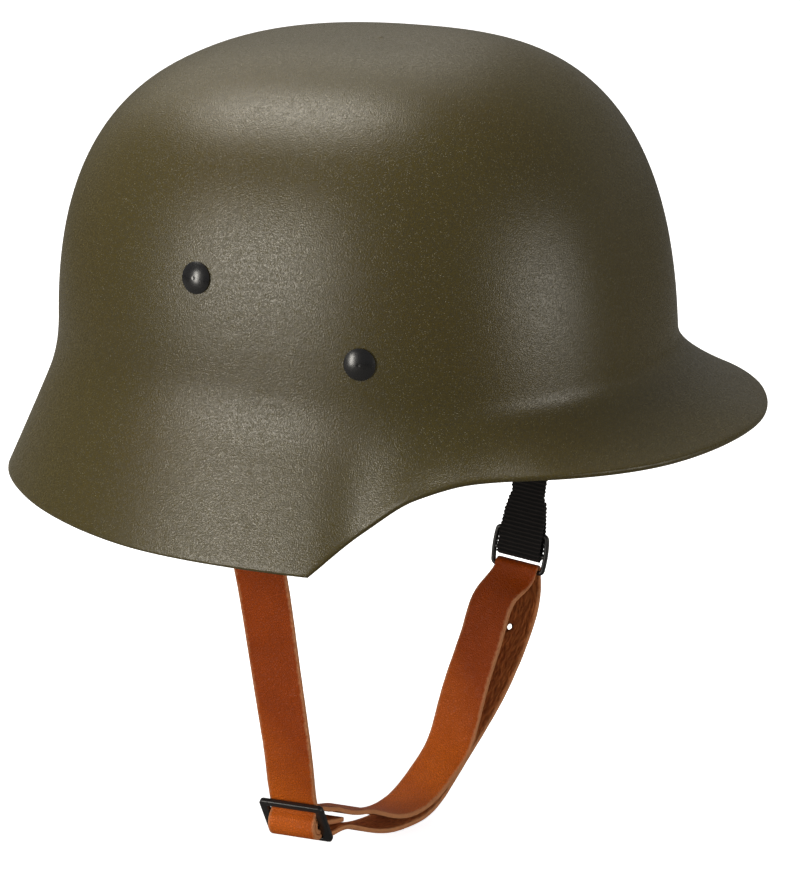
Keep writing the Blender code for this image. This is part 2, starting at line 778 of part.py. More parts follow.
def strap_slider():
    """Flat frame with three bars and two slots, tilted where the strap runs through it."""
    slots = slider_slots()
    slot_length = STRAP_WIDTH + 2 * CLEARANCE
    top = slots[0][0] - SLIDER_BAR
    bottom = slots[1][1] + SLIDER_LOWEST_BAR
    outer = Vector((slot_length + 2 * SLIDER_SIDE, bottom - top, SLIDER_THICKNESS))
    down, _, bars = slider_axes()
    place = Matrix((bars, down, bars.cross(down))).transposed().to_4x4()
    place.translation = run_point(SLIDER_PLACE)
    mesh = box_mesh("strap_slider", [(Vector((0, (top + bottom) / 2, 0)), outer)], SLIDER_CORNER)
    mesh.transform(place)
    piece = new_object("strap_slider", mesh)
    boxes = []
    for first, last in slots:
        size = Vector((slot_length, last - first, 4 * SLIDER_THICKNESS))
        boxes.append((Vector((0, (first + last) / 2, 0)), size))
    cutter = box_mesh("slider_slots", boxes)
    cutter.transform(place)
    cut(piece, mark_cutter(new_object("slider_slots", cutter)))
    return finish(piece, HARDWARE_BLACK, 0.35)


def wire_ring(name, path, side, radius):
    """Closed round wire along a flat path that turns about the side direction."""
    count = len(path)
    points = []
    for k in range(count):
        tangent = (path[(k + 1) % count] - path[k - 1]).normalized()
        inward = tangent.cross(side)
        for s in range(LOOP_WIRE_SIDES):
            turn = 2 * math.pi * s / LOOP_WIRE_SIDES
            points.append(path[k] + (inward * math.cos(turn) + side * math.sin(turn)) * radius)
    faces = []
    for k in range(count):
        after = (k + 1) % count
        for s in range(LOOP_WIRE_SIDES):
            beside = (s + 1) % LOOP_WIRE_SIDES
            faces.append((k * LOOP_WIRE_SIDES + s, k * LOOP_WIRE_SIDES + beside,
                          after * LOOP_WIRE_SIDES + beside, after * LOOP_WIRE_SIDES + s))
    return mesh_from(name, points, faces)


def strap_loop():
    """Rounded loop with a middle bar: the webbing holds the middle bar, the leather the lower."""
    up, face, bars = loop_axes()
    middle = run_point(LOOP_PLACE)
    straight = STRAP_WIDTH * FOLD_SHARE / 2 + CLEARANCE
    half = loop_half_height()
    path = []
    for across, rise in ((1, -1), (1, 1), (-1, 1), (-1, -1)):
        centre = middle + bars * across * straight + up * rise * (half - LOOP_CORNER)
        first = math.atan2(rise, across) - math.pi / 4
        for k in range(LOOP_CORNER_STEPS + 1):
            turn = first + math.pi / 2 * k / LOOP_CORNER_STEPS
            path.append(centre + (bars * math.cos(turn) + up * math.sin(turn)) * LOOP_CORNER)
    piece = new_object("strap_loop", wire_ring("strap_loop", path, face, LOOP_WIRE / 2))
    bar_centre = middle + up * CENTRE_BAR_SHARE * LOOP_HEIGHT
    reach = straight + LOOP_CORNER
    bar = hole_cutter("loop_bar", [(bar_centre, bars)], LOOP_BAR / 2, LOOP_WIRE_SIDES, reach)
    union = piece.modifiers.new("bar", "BOOLEAN")
    union.operation = "UNION"
    union.object = bar
    return finish(piece, HARDWARE_BLACK, 0.35)


def build():
    """Clears the scene and builds every piece."""
    for old in list(bpy.data.objects):
        bpy.data.objects.remove(old, do_unlink=True)
    shell()
    for place in RIVETS:
        rivet(place)
    chin_strap()
    strap_slider()
    strap_loop()
    elastic_webbing()
    edge_level = bpy.data.objects.new("edge_level", None)
    bpy.context.scene.collection.objects.link(edge_level)
    edge_level.location.z = -(HEIGHT - WALL)
    for piece in bpy.data.objects:
        if piece is not edge_level:
            piece.parent = edge_level


build()
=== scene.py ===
# %% [markdown]
# # A military helmet with a riveted shell and a leather chin strap
# The real helmet is one moulded shell, four rivets, a leather chin strap with a slider, a small
# loop and a piece of elastic webbing. The solids of these pieces are the frame: each
# piece made here takes the place of its solid, in the same spot, with finer forms and its finish.
# We load the frame first and keep its box, so that we can see later that nothing has grown.

# %% Load the frame
import math
from collections import namedtuple

import bmesh
import bpy
import numpy as np
from mathutils import Matrix, Vector, noise


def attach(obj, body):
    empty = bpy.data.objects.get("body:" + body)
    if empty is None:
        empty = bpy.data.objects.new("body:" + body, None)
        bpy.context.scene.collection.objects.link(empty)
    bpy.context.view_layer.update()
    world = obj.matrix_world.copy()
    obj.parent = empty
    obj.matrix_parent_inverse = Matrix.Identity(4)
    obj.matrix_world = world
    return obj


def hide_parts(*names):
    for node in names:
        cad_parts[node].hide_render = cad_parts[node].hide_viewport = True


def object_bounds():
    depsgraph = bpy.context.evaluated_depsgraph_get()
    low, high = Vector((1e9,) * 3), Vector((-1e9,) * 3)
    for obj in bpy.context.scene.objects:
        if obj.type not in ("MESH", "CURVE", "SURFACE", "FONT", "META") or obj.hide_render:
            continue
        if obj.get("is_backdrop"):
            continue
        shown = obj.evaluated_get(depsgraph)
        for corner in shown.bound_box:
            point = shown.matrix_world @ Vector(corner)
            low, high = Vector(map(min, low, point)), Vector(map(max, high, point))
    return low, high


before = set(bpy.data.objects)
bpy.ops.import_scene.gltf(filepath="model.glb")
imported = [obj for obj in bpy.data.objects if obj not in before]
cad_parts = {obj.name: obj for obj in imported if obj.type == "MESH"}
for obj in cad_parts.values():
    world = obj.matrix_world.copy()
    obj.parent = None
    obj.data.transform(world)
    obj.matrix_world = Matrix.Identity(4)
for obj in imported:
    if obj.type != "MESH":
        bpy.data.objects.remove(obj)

cad_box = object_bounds()
scene = bpy.context.scene
print("nodes:", ", ".join(sorted(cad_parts)))
print("solid box in mm:", [[round(v * 1000, 1) for v in corner] for corner in cad_box])

# %% [markdown]
# ## Sizes and helpers
# All lengths are in metres. Heights in the tables start at the ear corners of the shell's edge,
# and the origin of the frame is the top of the hollow, so a drop of one dome height less one
# wall brings a point into the frame. One helper cleans a mesh made from points and another gives
# it smooth shading, because every piece needs both.

# %% Sizes of the whole helmet
HALF_WIDTH = 0.100
HEIGHT = 0.1755
WALL = 0.0025
EDGE_LEVEL = Vector((0.0, 0.0, -(HEIGHT - WALL)))
CLEARANCE = 0.0003
MERGE_DISTANCE = 1e-6
SHARP_ANGLE = 40.0
TAU = 2 * math.pi


# %% Mesh helpers
def add_object(name, mesh):
    """Puts a mesh into the scene as an object at the origin."""
    piece = bpy.data.objects.new(name, mesh)
    scene.collection.objects.link(piece)
    return piece


def mesh_of(name, points, faces):
    """Mesh from numbered points and faces."""
    mesh = bpy.data.meshes.new(name)
    mesh.from_pydata([tuple(p) for p in points], [], [tuple(f) for f in faces])
    mesh.validate()
    return mesh


def store(mesh, name, values):
    """Stores a number or a vector for every point of a mesh under a name."""
    values = np.array(values, dtype=np.float32)
    is_vector = values.ndim == 2
    mesh.attributes.new(name, "FLOAT_VECTOR" if is_vector else "FLOAT", "POINT")
    mesh.attributes[name].data.foreach_set("vector" if is_vector else "value", values.ravel())


def face_outwards(mesh):
    """Merges doubled points and turns every face outwards."""
    shape = bmesh.new()
    shape.from_mesh(mesh)
    bmesh.ops.remove_doubles(shape, verts=shape.verts, dist=MERGE_DISTANCE)
    bmesh.ops.recalc_face_normals(shape, faces=shape.faces)
    shape.to_mesh(mesh)
    shape.free()
    return mesh


def shade(piece, sharp_from=None):
    """Smooth shading, with edges left sharp above an angle in degrees."""
    piece.data.shade_smooth()
    if sharp_from is not None:
        piece.data.set_sharp_from_angle(angle=math.radians(sharp_from))
    return piece


def bake_modifiers(piece):
    """Replaces a piece's mesh by its modified one and takes the modifiers off."""
    graph = bpy.context.evaluated_depsgraph_get()
    graph.update()
    mesh = bpy.data.meshes.new_from_object(piece.evaluated_get(graph))
    mesh.name = piece.name
    piece.modifiers.clear()
    piece.data = mesh
    return piece


def drop_object(piece):
    """Removes a helper object."""
    bpy.data.objects.remove(piece, do_unlink=True)


def triangles(piece):
    """Number of triangles of a piece."""
    piece.data.calc_loop_triangles()
    return len(piece.data.loop_triangles)


def stand_for(piece, slot, *nodes):
    """Gives a finished piece its body and hides the solids that it replaces; slot is not used."""
    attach(piece, "root")
    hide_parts(*nodes)
    print(f"{piece.name}: {triangles(piece)} triangles, stands for {', '.join(nodes)}")
    return piece


# %% [markdown]
# ## Camera
# The photo was matched by fitting the shell's outline, which gave the distance, the height and
# the turn of the camera. We build its three directions, roll them by a degree, and step back
# along the view. A long lens keeps the flat look of a product photo.

# %% Camera at the photo's place
CAMERA_AZIMUTH = -64.99
CAMERA_ELEVATION = 16.25
CAMERA_ROLL = -0.95
CAMERA_DISTANCE = 1.8
CAMERA_LENS = 193.5
CAMERA_CLIP_END = 30.0
CAMERA_TARGET = Vector((0.0, 0.0, -0.088))
TARGET_RIGHT = 0.00606
TARGET_UP = -0.06406


def camera_directions(azimuth, elevation, roll):
    """Right, up and back of a camera that looks at the object from an azimuth and elevation."""
    a, e, r = (math.radians(v) for v in (azimuth, elevation, roll))
    level_right = Vector((math.cos(a), math.sin(a), 0.0))
    level_up = Vector((-math.sin(a) * math.sin(e), math.cos(a) * math.sin(e), math.cos(e)))
    back = Vector((math.sin(a) * math.cos(e), -math.cos(a) * math.cos(e), math.sin(e)))
    right = level_right * math.cos(r) + level_up * math.sin(r)
    up = level_up * math.cos(r) - level_right * math.sin(r)
    return right, up, back


view_right, view_up, view_back = camera_directions(CAMERA_AZIMUTH, CAMERA_ELEVATION, CAMERA_ROLL)
camera_data = bpy.data.cameras.new("photo_camera")
camera_data.lens = CAMERA_LENS
camera_data.clip_end = CAMERA_CLIP_END
camera = bpy.data.objects.new("photo_camera", camera_data)
scene.collection.objects.link(camera)
turn = Matrix((view_right, view_up, view_back)).transposed().to_4x4()
turn.translation = (CAMERA_TARGET + view_right * TARGET_RIGHT + view_up * TARGET_UP
                    + view_back * CAMERA_DISTANCE)
camera.matrix_world = turn
scene.camera = camera
print("camera at", [round(v, 3) for v in camera.matrix_world.translation])

# %% [markdown]
# ## The shape of the shell
# The real shell is one even wall, moulded or pressed: a dome that is nearly a box in its upper
# half, a soft crease above the ears, a short visor and a deep flared skirt. It could be
# sculpted, but it follows a rule, so we write the rule down: a rounded plan, a rounded side, and
# a ramp that starts at the crease and pushes the wall outwards down to the edge. Short tables
# say how the crease and the edge change from the front round to the back.

# %% Rule for the shell's wall
FRONT_REACH = 0.1105
REAR_REACH = 0.126
PLAN_POWER = 2.4
SIDE_POWER = 3.2
CROWN_POWER = 2.53
CREASE_HEIGHT = 0.0528
CREASE_SOFTNESS = 0.0121
CreaseRow = namedtuple("CreaseRow", "place height softness")
CREASE = (
    CreaseRow("front", 0.83, 1.37),
    CreaseRow("side", 1.00, 1.00),
    CreaseRow("rear", 1.06, 1.03),
)
VISOR_REACH = 0.040
EAR_FLARE = 0.0212
SKIRT_REACH = 0.0283
VISOR_LIFT = 0.0389
EAR_ANGLE = 79.2
PROBE_DEGREES = 0.5
PROBE_RISE = 0.0005
EdgeRow = namedtuple("EdgeRow", "angle reach lift")
VISOR_EDGE = (
    EdgeRow(0.0, 1.00, 1.00),
    EdgeRow(19.5, 0.85, 0.97),
    EdgeRow(37.0, 0.63, 0.98),
    EdgeRow(51.0, 0.41, 0.93),
    EdgeRow(60.5, 0.395, 0.775),
    EdgeRow(69.5, 0.37, 0.433),
)
SKIRT_EDGE = (
    EdgeRow(110.0, 0.73, 0.02),
    EdgeRow(145.0, 0.68, 0.10),
    EdgeRow(180.0, 1.00, 0.07),
)


def cosine_blend(front, side, rear, angle):
    """Smooth value at an angle from the front, flat at the front and the rear."""
    second = ((front + rear) / 2 - side) / 2
    return side + second + (front - rear) / 2 * math.cos(angle) + second * math.cos(2 * angle)


def crease_at(angle):
    """Height and softness of the crease at an angle from the front."""
    front, side, rear = CREASE
    height = cosine_blend(front.height, side.height, rear.height, angle) * CREASE_HEIGHT
    softness = cosine_blend(front.softness, side.softness, rear.softness, angle) * CREASE_SOFTNESS
    return height, softness


def smooth_curve(knots, values, at):
    """Cubic curve through the knots that never passes above or below its neighbours."""
    step = np.diff(knots)
    slope = np.diff(values) / step
    tangent = np.zeros(len(knots))
    for k in range(1, len(knots) - 1):
        if slope[k - 1] * slope[k] > 0:
            first = 2 * step[k] + step[k - 1]
            last = step[k] + 2 * step[k - 1]
            tangent[k] = (first + last) / (first / slope[k - 1] + last / slope[k])
    tangent[0] = 0.0 if knots[0] == 0 else slope[0]
    tangent[-1] = 0.0 if knots[-1] == 180 else slope[-1]
    k = int(np.clip(np.searchsorted(knots, at, side="right") - 1, 0, len(step) - 1))
    t = (at - knots[k]) / step[k]
    blend = t * t * (3 - 2 * t)
    start = step[k] * tangent[k] * t * (1 - t) ** 2
    end = step[k] * tangent[k + 1] * t * t * (t - 1)
    return values[k] + (values[k + 1] - values[k]) * blend + start + end


def edge_at(degrees):
    """How far the edge stands out past the crease and how high it lies."""
    visor = degrees <= EAR_ANGLE
    rows = VISOR_EDGE if visor else SKIRT_EDGE
    reach = VISOR_REACH if visor else SKIRT_REACH
    angles = [row.angle for row in rows]
    reaches = [row.reach * reach for row in rows]
    lifts = [row.lift * VISOR_LIFT for row in rows]
    corner = len(rows) if visor else 0
    angles.insert(corner, EAR_ANGLE)
    reaches.insert(corner, EAR_FLARE)
    lifts.insert(corner, 0.0)
    return smooth_curve(angles, reaches, degrees), smooth_curve(angles, lifts, degrees)


def plan_radius(angle):
    """Distance from the middle to the wall at the crease."""
    reach = FRONT_REACH if math.cos(angle) > 0 else REAR_REACH
    ahead = abs(math.cos(angle)) / reach
    aside = abs(math.sin(angle)) / HALF_WIDTH
    return (ahead ** PLAN_POWER + aside ** PLAN_POWER) ** (-1 / PLAN_POWER)


def flare_ramp(depth, softness):
    """Rounded ramp that starts a softness above the crease and runs straight below it."""
    rounded = (depth + softness) ** 2 / (4 * softness)
    return np.where(depth <= -softness, 0.0, np.where(depth >= softness, depth, rounded))


def wall_radius(degrees, height):
    """Distance of the outer wall from the Z axis at an angle and one or more heights."""
    angle = math.radians(degrees)
    crease, softness = crease_at(angle)
    reach, lift = edge_at(degrees)
    dome = np.clip((height - crease) / (HEIGHT - crease), 0.0, 1.0)
    radius = plan_radius(angle) * (1 - dome ** CROWN_POWER) ** (1 / SIDE_POWER)
    ramp = flare_ramp(crease - height, softness) / flare_ramp(crease - lift, softness)
    return radius + reach * ramp


def wall_point(degrees, height, side):
    """Point of the outer wall, side -1 for the wearer's right and +1 for the left."""
    radius = float(wall_radius(degrees, height))
    angle = math.radians(degrees)
    return Vector((side * radius * math.sin(angle), -radius * math.cos(angle), height))


def wall_normal(degrees, height, side):
    """Outward direction of the outer wall."""
    before, after = degrees - PROBE_DEGREES, degrees + PROBE_DEGREES
    along = wall_point(after, height, side) - wall_point(before, height, side)
    low, high = height - PROBE_RISE, height + PROBE_RISE
    up = wall_point(degrees, high, side) - wall_point(degrees, low, side)
    normal = along.cross(up).normalized()
    outward = Vector((side * math.sin(math.radians(degrees)), -math.cos(math.radians(degrees)), 0))
    return normal if normal.dot(outward) > 0 else -normal


print("edge at the front in mm:", [round(1000 * float(v), 1) for v in edge_at(0.0)])

# %% [markdown]
# ## The shell
# The rule gives one line from the crown down to the edge for every angle. We space the points
# of each line evenly along its length, so that the highlights stay clean, and put a few close
# rings at the crown, where the mould was filled and left a small mark with faint ripples. The
# inner wall is the outer one moved in by the wall's thickness along its own direction, and the
# edge between them is rounded, because a cast or trimmed edge is never knife sharp.

# %% Lines of the shell
VISOR_COLUMNS = 58
SKIRT_COLUMNS = 70
GATE_RINGS = (0.0005, 0.0010, 0.0014, 0.0018, 0.0024, 0.0032, 0.0042, 0.0054, 0.0068, 0.0084)
WALL_ROWS = 78
DENSE_STEPS = 1500
CROWN_CROWDING = 1.6
CROWN_LEAN = 0.2
RIM_ROUND = 0.0009
RIM_STEPS = 3
GATE_RADIUS = 0.0013
GATE_RISE = 0.00035
GATE_STEEPNESS = 6
RIPPLE_LENGTH = 0.0036
RIPPLE_RISE = 0.00005


def shell_angles():
    """Every column's angle and side, once round the shell, with a column on each ear corner."""
    visor = [EAR_ANGLE * k / VISOR_COLUMNS for k in range(VISOR_COLUMNS)]
    rest = 180.0 - EAR_ANGLE
    right = visor + [EAR_ANGLE + rest * k / SKIRT_COLUMNS for k in range(SKIRT_COLUMNS + 1)]
    return [(d, -1) for d in right] + [(d, 1) for d in reversed(right[1:-1])]


def dense_line(degrees):
    """Radius and height from the crown to the edge in many small steps."""
    crease, softness = crease_at(math.radians(degrees))
    lift = edge_at(degrees)[1]
    share = (softness / (HEIGHT - crease)) ** (CROWN_POWER / 2)
    turn = np.linspace(0.0, math.acos(share), DENSE_STEPS) ** CROWN_CROWDING
    turn *= math.acos(share) / turn[-1]
    dome = crease + (HEIGHT - crease) * np.cos(turn) ** (2 / CROWN_POWER)
    flare = np.linspace(crease + softness, lift, DENSE_STEPS)[1:]
    height = np.concatenate([dome, flare])
    return wall_radius(degrees, height), height


def column(degrees):
    """Radius and height of one column's points, close at the crown and even below it."""
    radius, height = dense_line(degrees)
    steps = np.hypot(np.diff(radius), np.diff(height))
    length = np.concatenate([[0.0], np.cumsum(steps)])
    start = GATE_RINGS[-1]
    even = np.linspace(start, length[-1], WALL_ROWS + 1)[1:]
    at = np.concatenate([GATE_RINGS, even])
    return np.interp(at, length, radius), np.interp(at, length, height)


def outer_grid():
    """Points of the outer wall as an array of columns and rows, in the frame."""
    columns = []
    for degrees, side in shell_angles():
        radius, height = column(degrees)
        angle = math.radians(degrees)
        x = side * radius * math.sin(angle)
        columns.append(np.stack([x, -radius * math.cos(angle), height], axis=1))
    return np.array(columns) + np.array(EDGE_LEVEL)


def grid_normals(grid):
    """Outward direction at each point of a closed ring of columns."""
    around = np.roll(grid, -1, axis=0) - np.roll(grid, 1, axis=0)
    down = np.gradient(grid, axis=1)
    normal = np.cross(down, around)
    normal /= np.linalg.norm(normal, axis=2)[:, :, None]
    outward = grid * (1.0, 1.0, 0.0) + (0.0, 0.0, CROWN_LEAN * HALF_WIDTH)
    return normal * np.sign((normal * outward).sum(axis=2))[:, :, None]


outer = outer_grid()
outward = grid_normals(outer)
print("shell columns and rows:", outer.shape[:2])


# %% Mould mark at the crown
def gate_lift(distance):
    """Height of the mould mark and its ripples at a distance from the crown."""
    nub = GATE_RISE * np.exp(-(distance / GATE_RADIUS) ** GATE_STEEPNESS)
    ripple = np.cos(TAU * distance / RIPPLE_LENGTH) * np.exp(-distance / RIPPLE_LENGTH)
    return nub + RIPPLE_RISE * ripple


from_crown = np.hypot(outer[:, :, 0], outer[:, :, 1])
outer += outward * gate_lift(from_crown)[:, :, None]


# %% Close the wall round its edge
def shell_rings():
    """Rings of points from the crown, over the outer wall, round the edge and up inside."""
    edge = outer[:, -1]
    normal = outward[:, -1]
    down = edge - outer[:, -2]
    down -= normal * (down * normal).sum(axis=1)[:, None]
    down /= np.linalg.norm(down, axis=1)[:, None]
    rings = [outer[:, r] for r in range(outer.shape[1] - 1)]
    for first, depth in ((0.0, RIM_ROUND), (math.pi / 2, WALL - RIM_ROUND)):
        centre = edge - down * RIM_ROUND - normal * depth
        for k in range(RIM_STEPS + 1):
            turn = first + math.pi / 2 * k / RIM_STEPS
            rings.append(centre + (normal * math.cos(turn) + down * math.sin(turn)) * RIM_ROUND)
    for r in reversed(range(len(GATE_RINGS), outer.shape[1] - 1)):
        rings.append(outer[:, r] - outward[:, r] * WALL)
    return rings


def rings_mesh(name, rings, top, bottom):
    """Closed mesh from rings of equal length, capped at a first and a last point."""
    count = len(rings[0])
    points = [top] + [p for ring in rings for p in ring] + [bottom]
    faces = [(0, 1 + (c + 1) % count, 1 + c) for c in range(count)]
    for r in range(len(rings) - 1):
        for c in range(count):
            here = 1 + r * count + c
            beside = 1 + r * count + (c + 1) % count
            faces.append((here, beside, beside + count, here + count))
    last = 1 + (len(rings) - 1) * count
    end = last + count
    faces += [(last + c, last + (c + 1) % count, end) for c in range(count)]
    return mesh_of(name, points, faces)


crown = Vector((0.0, 0.0, WALL + GATE_RISE + RIPPLE_RISE))
hollow_top = Vector((0.0, 0.0, 0.0))
shell = add_object("shell", rings_mesh("shell", shell_rings(), crown, hollow_top))
face_outwards(shell.data)
shade(shell)
print("shell triangles:", triangles(shell))

# %% [markdown]
# ## Rivets
# Four domed rivets go through the shell, two on each side. Such rivets hold a liner, of which
# nothing shows here, and two of them hold the ends of the chin strap and of the webbing. A rivet
# is round, so its outline is drawn once and spun. The four of them are then set on the wall by
# Geometry Nodes: a point at each hole knows the wall's direction and how deep the inner head
# lies, and the tree puts a head on each point and an inner head below it.

# %% Rivet outlines
RIVET_RADIUS = 0.0060
RIVET_RISE = 0.0022
RIVET_BRIM = 0.0005
DIMPLE_RADIUS = 0.0009
DIMPLE_DEPTH = 0.00012
SHANK_RADIUS = 0.0020
INNER_HEAD_RADIUS = 0.0046
INNER_HEAD_THICKNESS = 0.0014
INNER_HEAD_ROUND = 0.0004
RIVET_TURNS = 56
DOME_STEPS = 14
CORNER_STEPS = 4
STRAP_WIDTH = 0.0195
STRAP_THICKNESS = 0.0018
WEB_WIDTH = 0.0184
WEB_THICKNESS = 0.0012
GATHER_SHARE = 0.79
BEND_SHARE = 0.667
RivetPlace = namedtuple("RivetPlace", "name degrees height side holds")
RIVETS = (
    RivetPlace("rivet_front_right", 70.1, 0.0757, -1, 0.0),
    RivetPlace("rivet_front_left", 70.1, 0.0757, 1, WEB_THICKNESS),
    RivetPlace("rivet_rear_right", 108.2, 0.1017, -1, STRAP_THICKNESS),
    RivetPlace("rivet_rear_left", 108.2, 0.1017, 1, 0.0),
)


def head_outline():
    """Outline of the domed head with its dimple, and of the shank below it."""
    rise = RIVET_RISE - RIVET_BRIM
    dome_radius = (RIVET_RADIUS ** 2 + rise ** 2) / (2 * rise)
    dome_reach = RIVET_RADIUS - DIMPLE_RADIUS
    reaches = [DIMPLE_RADIUS * k / CORNER_STEPS for k in range(CORNER_STEPS)]
    reaches += [DIMPLE_RADIUS + dome_reach * k / DOME_STEPS for k in range(DOME_STEPS + 1)]
    outline = []
    for reach in reaches:
        share = min(reach / DIMPLE_RADIUS, 1.0)
        sink = DIMPLE_DEPTH * (0.5 + 0.5 * math.cos(math.pi * share))
        drop = dome_radius - math.sqrt(dome_radius ** 2 - reach ** 2)
        outline.append((reach, RIVET_RISE - drop - sink))
    outline += [(RIVET_RADIUS, CLEARANCE), (SHANK_RADIUS, CLEARANCE)]
    outline += [(SHANK_RADIUS, -2 * WALL), (0.0, -2 * WALL)]
    return outline


def inner_head_outline():
    """Outline of the flat inner head, which hangs below its own zero level."""
    edge = INNER_HEAD_RADIUS - INNER_HEAD_ROUND
    low = -INNER_HEAD_THICKNESS + INNER_HEAD_ROUND
    outline = [(0.0, 0.0), (INNER_HEAD_RADIUS, 0.0)]
    for k in range(CORNER_STEPS + 1):
        turn = math.pi / 2 * k / CORNER_STEPS
        outline.append((edge + INNER_HEAD_ROUND * math.cos(turn),
                        low - INNER_HEAD_ROUND * math.sin(turn)))
    return outline + [(0.0, -INNER_HEAD_THICKNESS)]


def spun(name, outline):
    """Round object made by spinning an outline once about the Z axis."""
    points = [(radius, 0.0, height) for radius, height in outline]
    mesh = bpy.data.meshes.new(name)
    mesh.from_pydata(points, [(k, k + 1) for k in range(len(points) - 1)], [])
    piece = add_object(name, mesh)
    screw = piece.modifiers.new("spin", "SCREW")
    screw.steps = RIVET_TURNS
    screw.render_steps = RIVET_TURNS
    screw.use_merge_vertices = True
    screw.merge_threshold = MERGE_DISTANCE
    bake_modifiers(piece)
    face_outwards(piece.data)
    return shade(piece, SHARP_ANGLE)


rivet_head = spun("rivet_head", head_outline())
inner_head = spun("inner_head", inner_head_outline())
print("rivet head triangles:", triangles(rivet_head))


# %% Places of the rivets
def wall_sag(reach):
    """How far the curved wall comes inwards at a reach to the side of a rivet."""
    return reach * reach / (2 * BEND_SHARE * HALF_WIDTH)


def held_depth(width):
    """Depth of the near face of a strap that a rivet holds against the inner wall."""
    return WALL + CLEARANCE + wall_sag(width / 2)


def rivet_depth(place):
    """Depth of the inner head's near face below the outer wall."""
    if place.holds == 0.0:
        return WALL + CLEARANCE + wall_sag(INNER_HEAD_RADIUS)
    width = WEB_WIDTH * GATHER_SHARE if place.holds == WEB_THICKNESS else STRAP_WIDTH
    return held_depth(width) + place.holds + CLEARANCE


def rivet_frame(place):
    """Matrix whose Z axis points out of the wall at a rivet, Y up along the wall."""
    normal = wall_normal(place.degrees, place.height, place.side)
    aside = Vector((0, 0, 1)).cross(normal).normalized()
    frame_here = Matrix((aside, normal.cross(aside), normal)).transposed().to_4x4()
    frame_here.translation = wall_point(place.degrees, place.height, place.side) + EDGE_LEVEL
    return frame_here


def rivet_points():
    """Mesh of one point for each rivet, with the wall's direction and the inner depth."""
    frames = [rivet_frame(place) for place in RIVETS]
    mesh = mesh_of("rivets", [f.translation for f in frames], [])
    store(mesh, "out", [f.col[2].to_3d() for f in frames])
    store(mesh, "inner_depth", [rivet_depth(place) for place in RIVETS])
    return add_object("rivets", mesh)


# %% [markdown]
# A Geometry Nodes tree is a small program. The helpers below make a tree with named sockets,
# add nodes with their inputs in one line, and set a modifier's input by the identifier that
# Blender gives its socket, which is the safe way because names may repeat.

# %% Geometry Nodes helpers
def new_tree(name, sockets):
    """Geometry tree with a geometry in and out and the named inputs, as (tree, in, out)."""
    tree = bpy.data.node_groups.new(name, "GeometryNodeTree")
    tree.interface.new_socket("Geometry", in_out="INPUT", socket_type="NodeSocketGeometry")
    tree.interface.new_socket("Geometry", in_out="OUTPUT", socket_type="NodeSocketGeometry")
    for label, kind in sockets:
        tree.interface.new_socket(label, in_out="INPUT", socket_type=kind)
    return tree, tree.nodes.new("NodeGroupInput"), tree.nodes.new("NodeGroupOutput")


def node(tree, kind, inputs=None, **settings):
    """Adds a node, sets its properties, and fills or links its inputs."""
    made = tree.nodes.new(kind)
    for key, value in settings.items():
        setattr(made, key, value)
    for key, value in (inputs or {}).items():
        if isinstance(value, bpy.types.NodeSocket):
            tree.links.new(value, made.inputs[key])
        else:
            made.inputs[key].default_value = value
    return made


def maths(tree, operation, first, second=0.0, third=None):
    """One sum, product or comparison of values."""
    inputs = {0: first, 1: second}
    if third is not None:
        inputs[2] = third
    return node(tree, "ShaderNodeMath", inputs, operation=operation).outputs[0]


def stored_value(tree, name, kind):
    """A value that the points of a piece keep under a name."""
    stored = node(tree, "GeometryNodeInputNamedAttribute", {"Name": name}, data_type=kind)
    return stored.outputs["Attribute"]


def finish_tree(tree, geometry, material, out):
    """Ends a tree: copies become real, and everything gets the material."""
    real = node(tree, "GeometryNodeRealizeInstances", {"Geometry": geometry})
    painted = node(tree, "GeometryNodeSetMaterial",
                   {"Geometry": real.outputs["Geometry"], "Material": material})
    tree.links.new(painted.outputs["Geometry"], out.inputs["Geometry"])
    return tree


def run_tree(piece, tree, values):
    """Runs a tree on a piece with the named values and keeps the result as a plain mesh."""
    modifier = piece.modifiers.new(tree.name, "NODES")
    modifier.node_group = tree
    for item in tree.interface.items_tree:
        if item.item_type == "SOCKET" and item.in_out == "INPUT" and item.name in values:
            modifier[item.identifier] = values[item.name]
    return bake_modifiers(piece)


def rivet_tree():
    """Tree that sets a head and an inner head at every point."""
    sockets = (("Head", "NodeSocketObject"), ("Inner Head", "NodeSocketObject"),
               ("Material", "NodeSocketMaterial"))
    tree, into, out = new_tree("set rivets in the wall", sockets)
    direction = stored_value(tree, "out", "FLOAT_VECTOR")
    below_wall = maths(tree, "MULTIPLY", stored_value(tree, "inner_depth", "FLOAT"), -1.0)
    turned = node(tree, "FunctionNodeAlignRotationToVector", {"Vector": direction}, axis="Z")
    inward = node(tree, "ShaderNodeVectorMath", {0: direction, "Scale": below_wall},
                  operation="SCALE")
    below = node(tree, "GeometryNodeSetPosition",
                 {"Geometry": into.outputs["Geometry"], "Offset": inward.outputs["Vector"]})
    joined = node(tree, "GeometryNodeJoinGeometry")
    for label, points in (("Head", into.outputs["Geometry"]),
                          ("Inner Head", below.outputs["Geometry"])):
        shape = node(tree, "GeometryNodeObjectInfo", {"Object": into.outputs[label]})
        placed = node(tree, "GeometryNodeInstanceOnPoints",
                      {"Points": points, "Instance": shape.outputs["Geometry"],
                       "Rotation": turned.outputs["Rotation"]})
        tree.links.new(placed.outputs["Instances"], joined.inputs["Geometry"])
    return finish_tree(tree, joined.outputs["Geometry"], into.outputs["Material"], out)


# %% Set the rivets
rivet_paint = bpy.data.materials.new("black rivet")
rivets = run_tree(rivet_points(), rivet_tree(),
                  {"Head": rivet_head, "Inner Head": inner_head, "Material": rivet_paint})
drop_object(rivet_head)
drop_object(inner_head)
print("rivets triangles:", triangles(rivets))

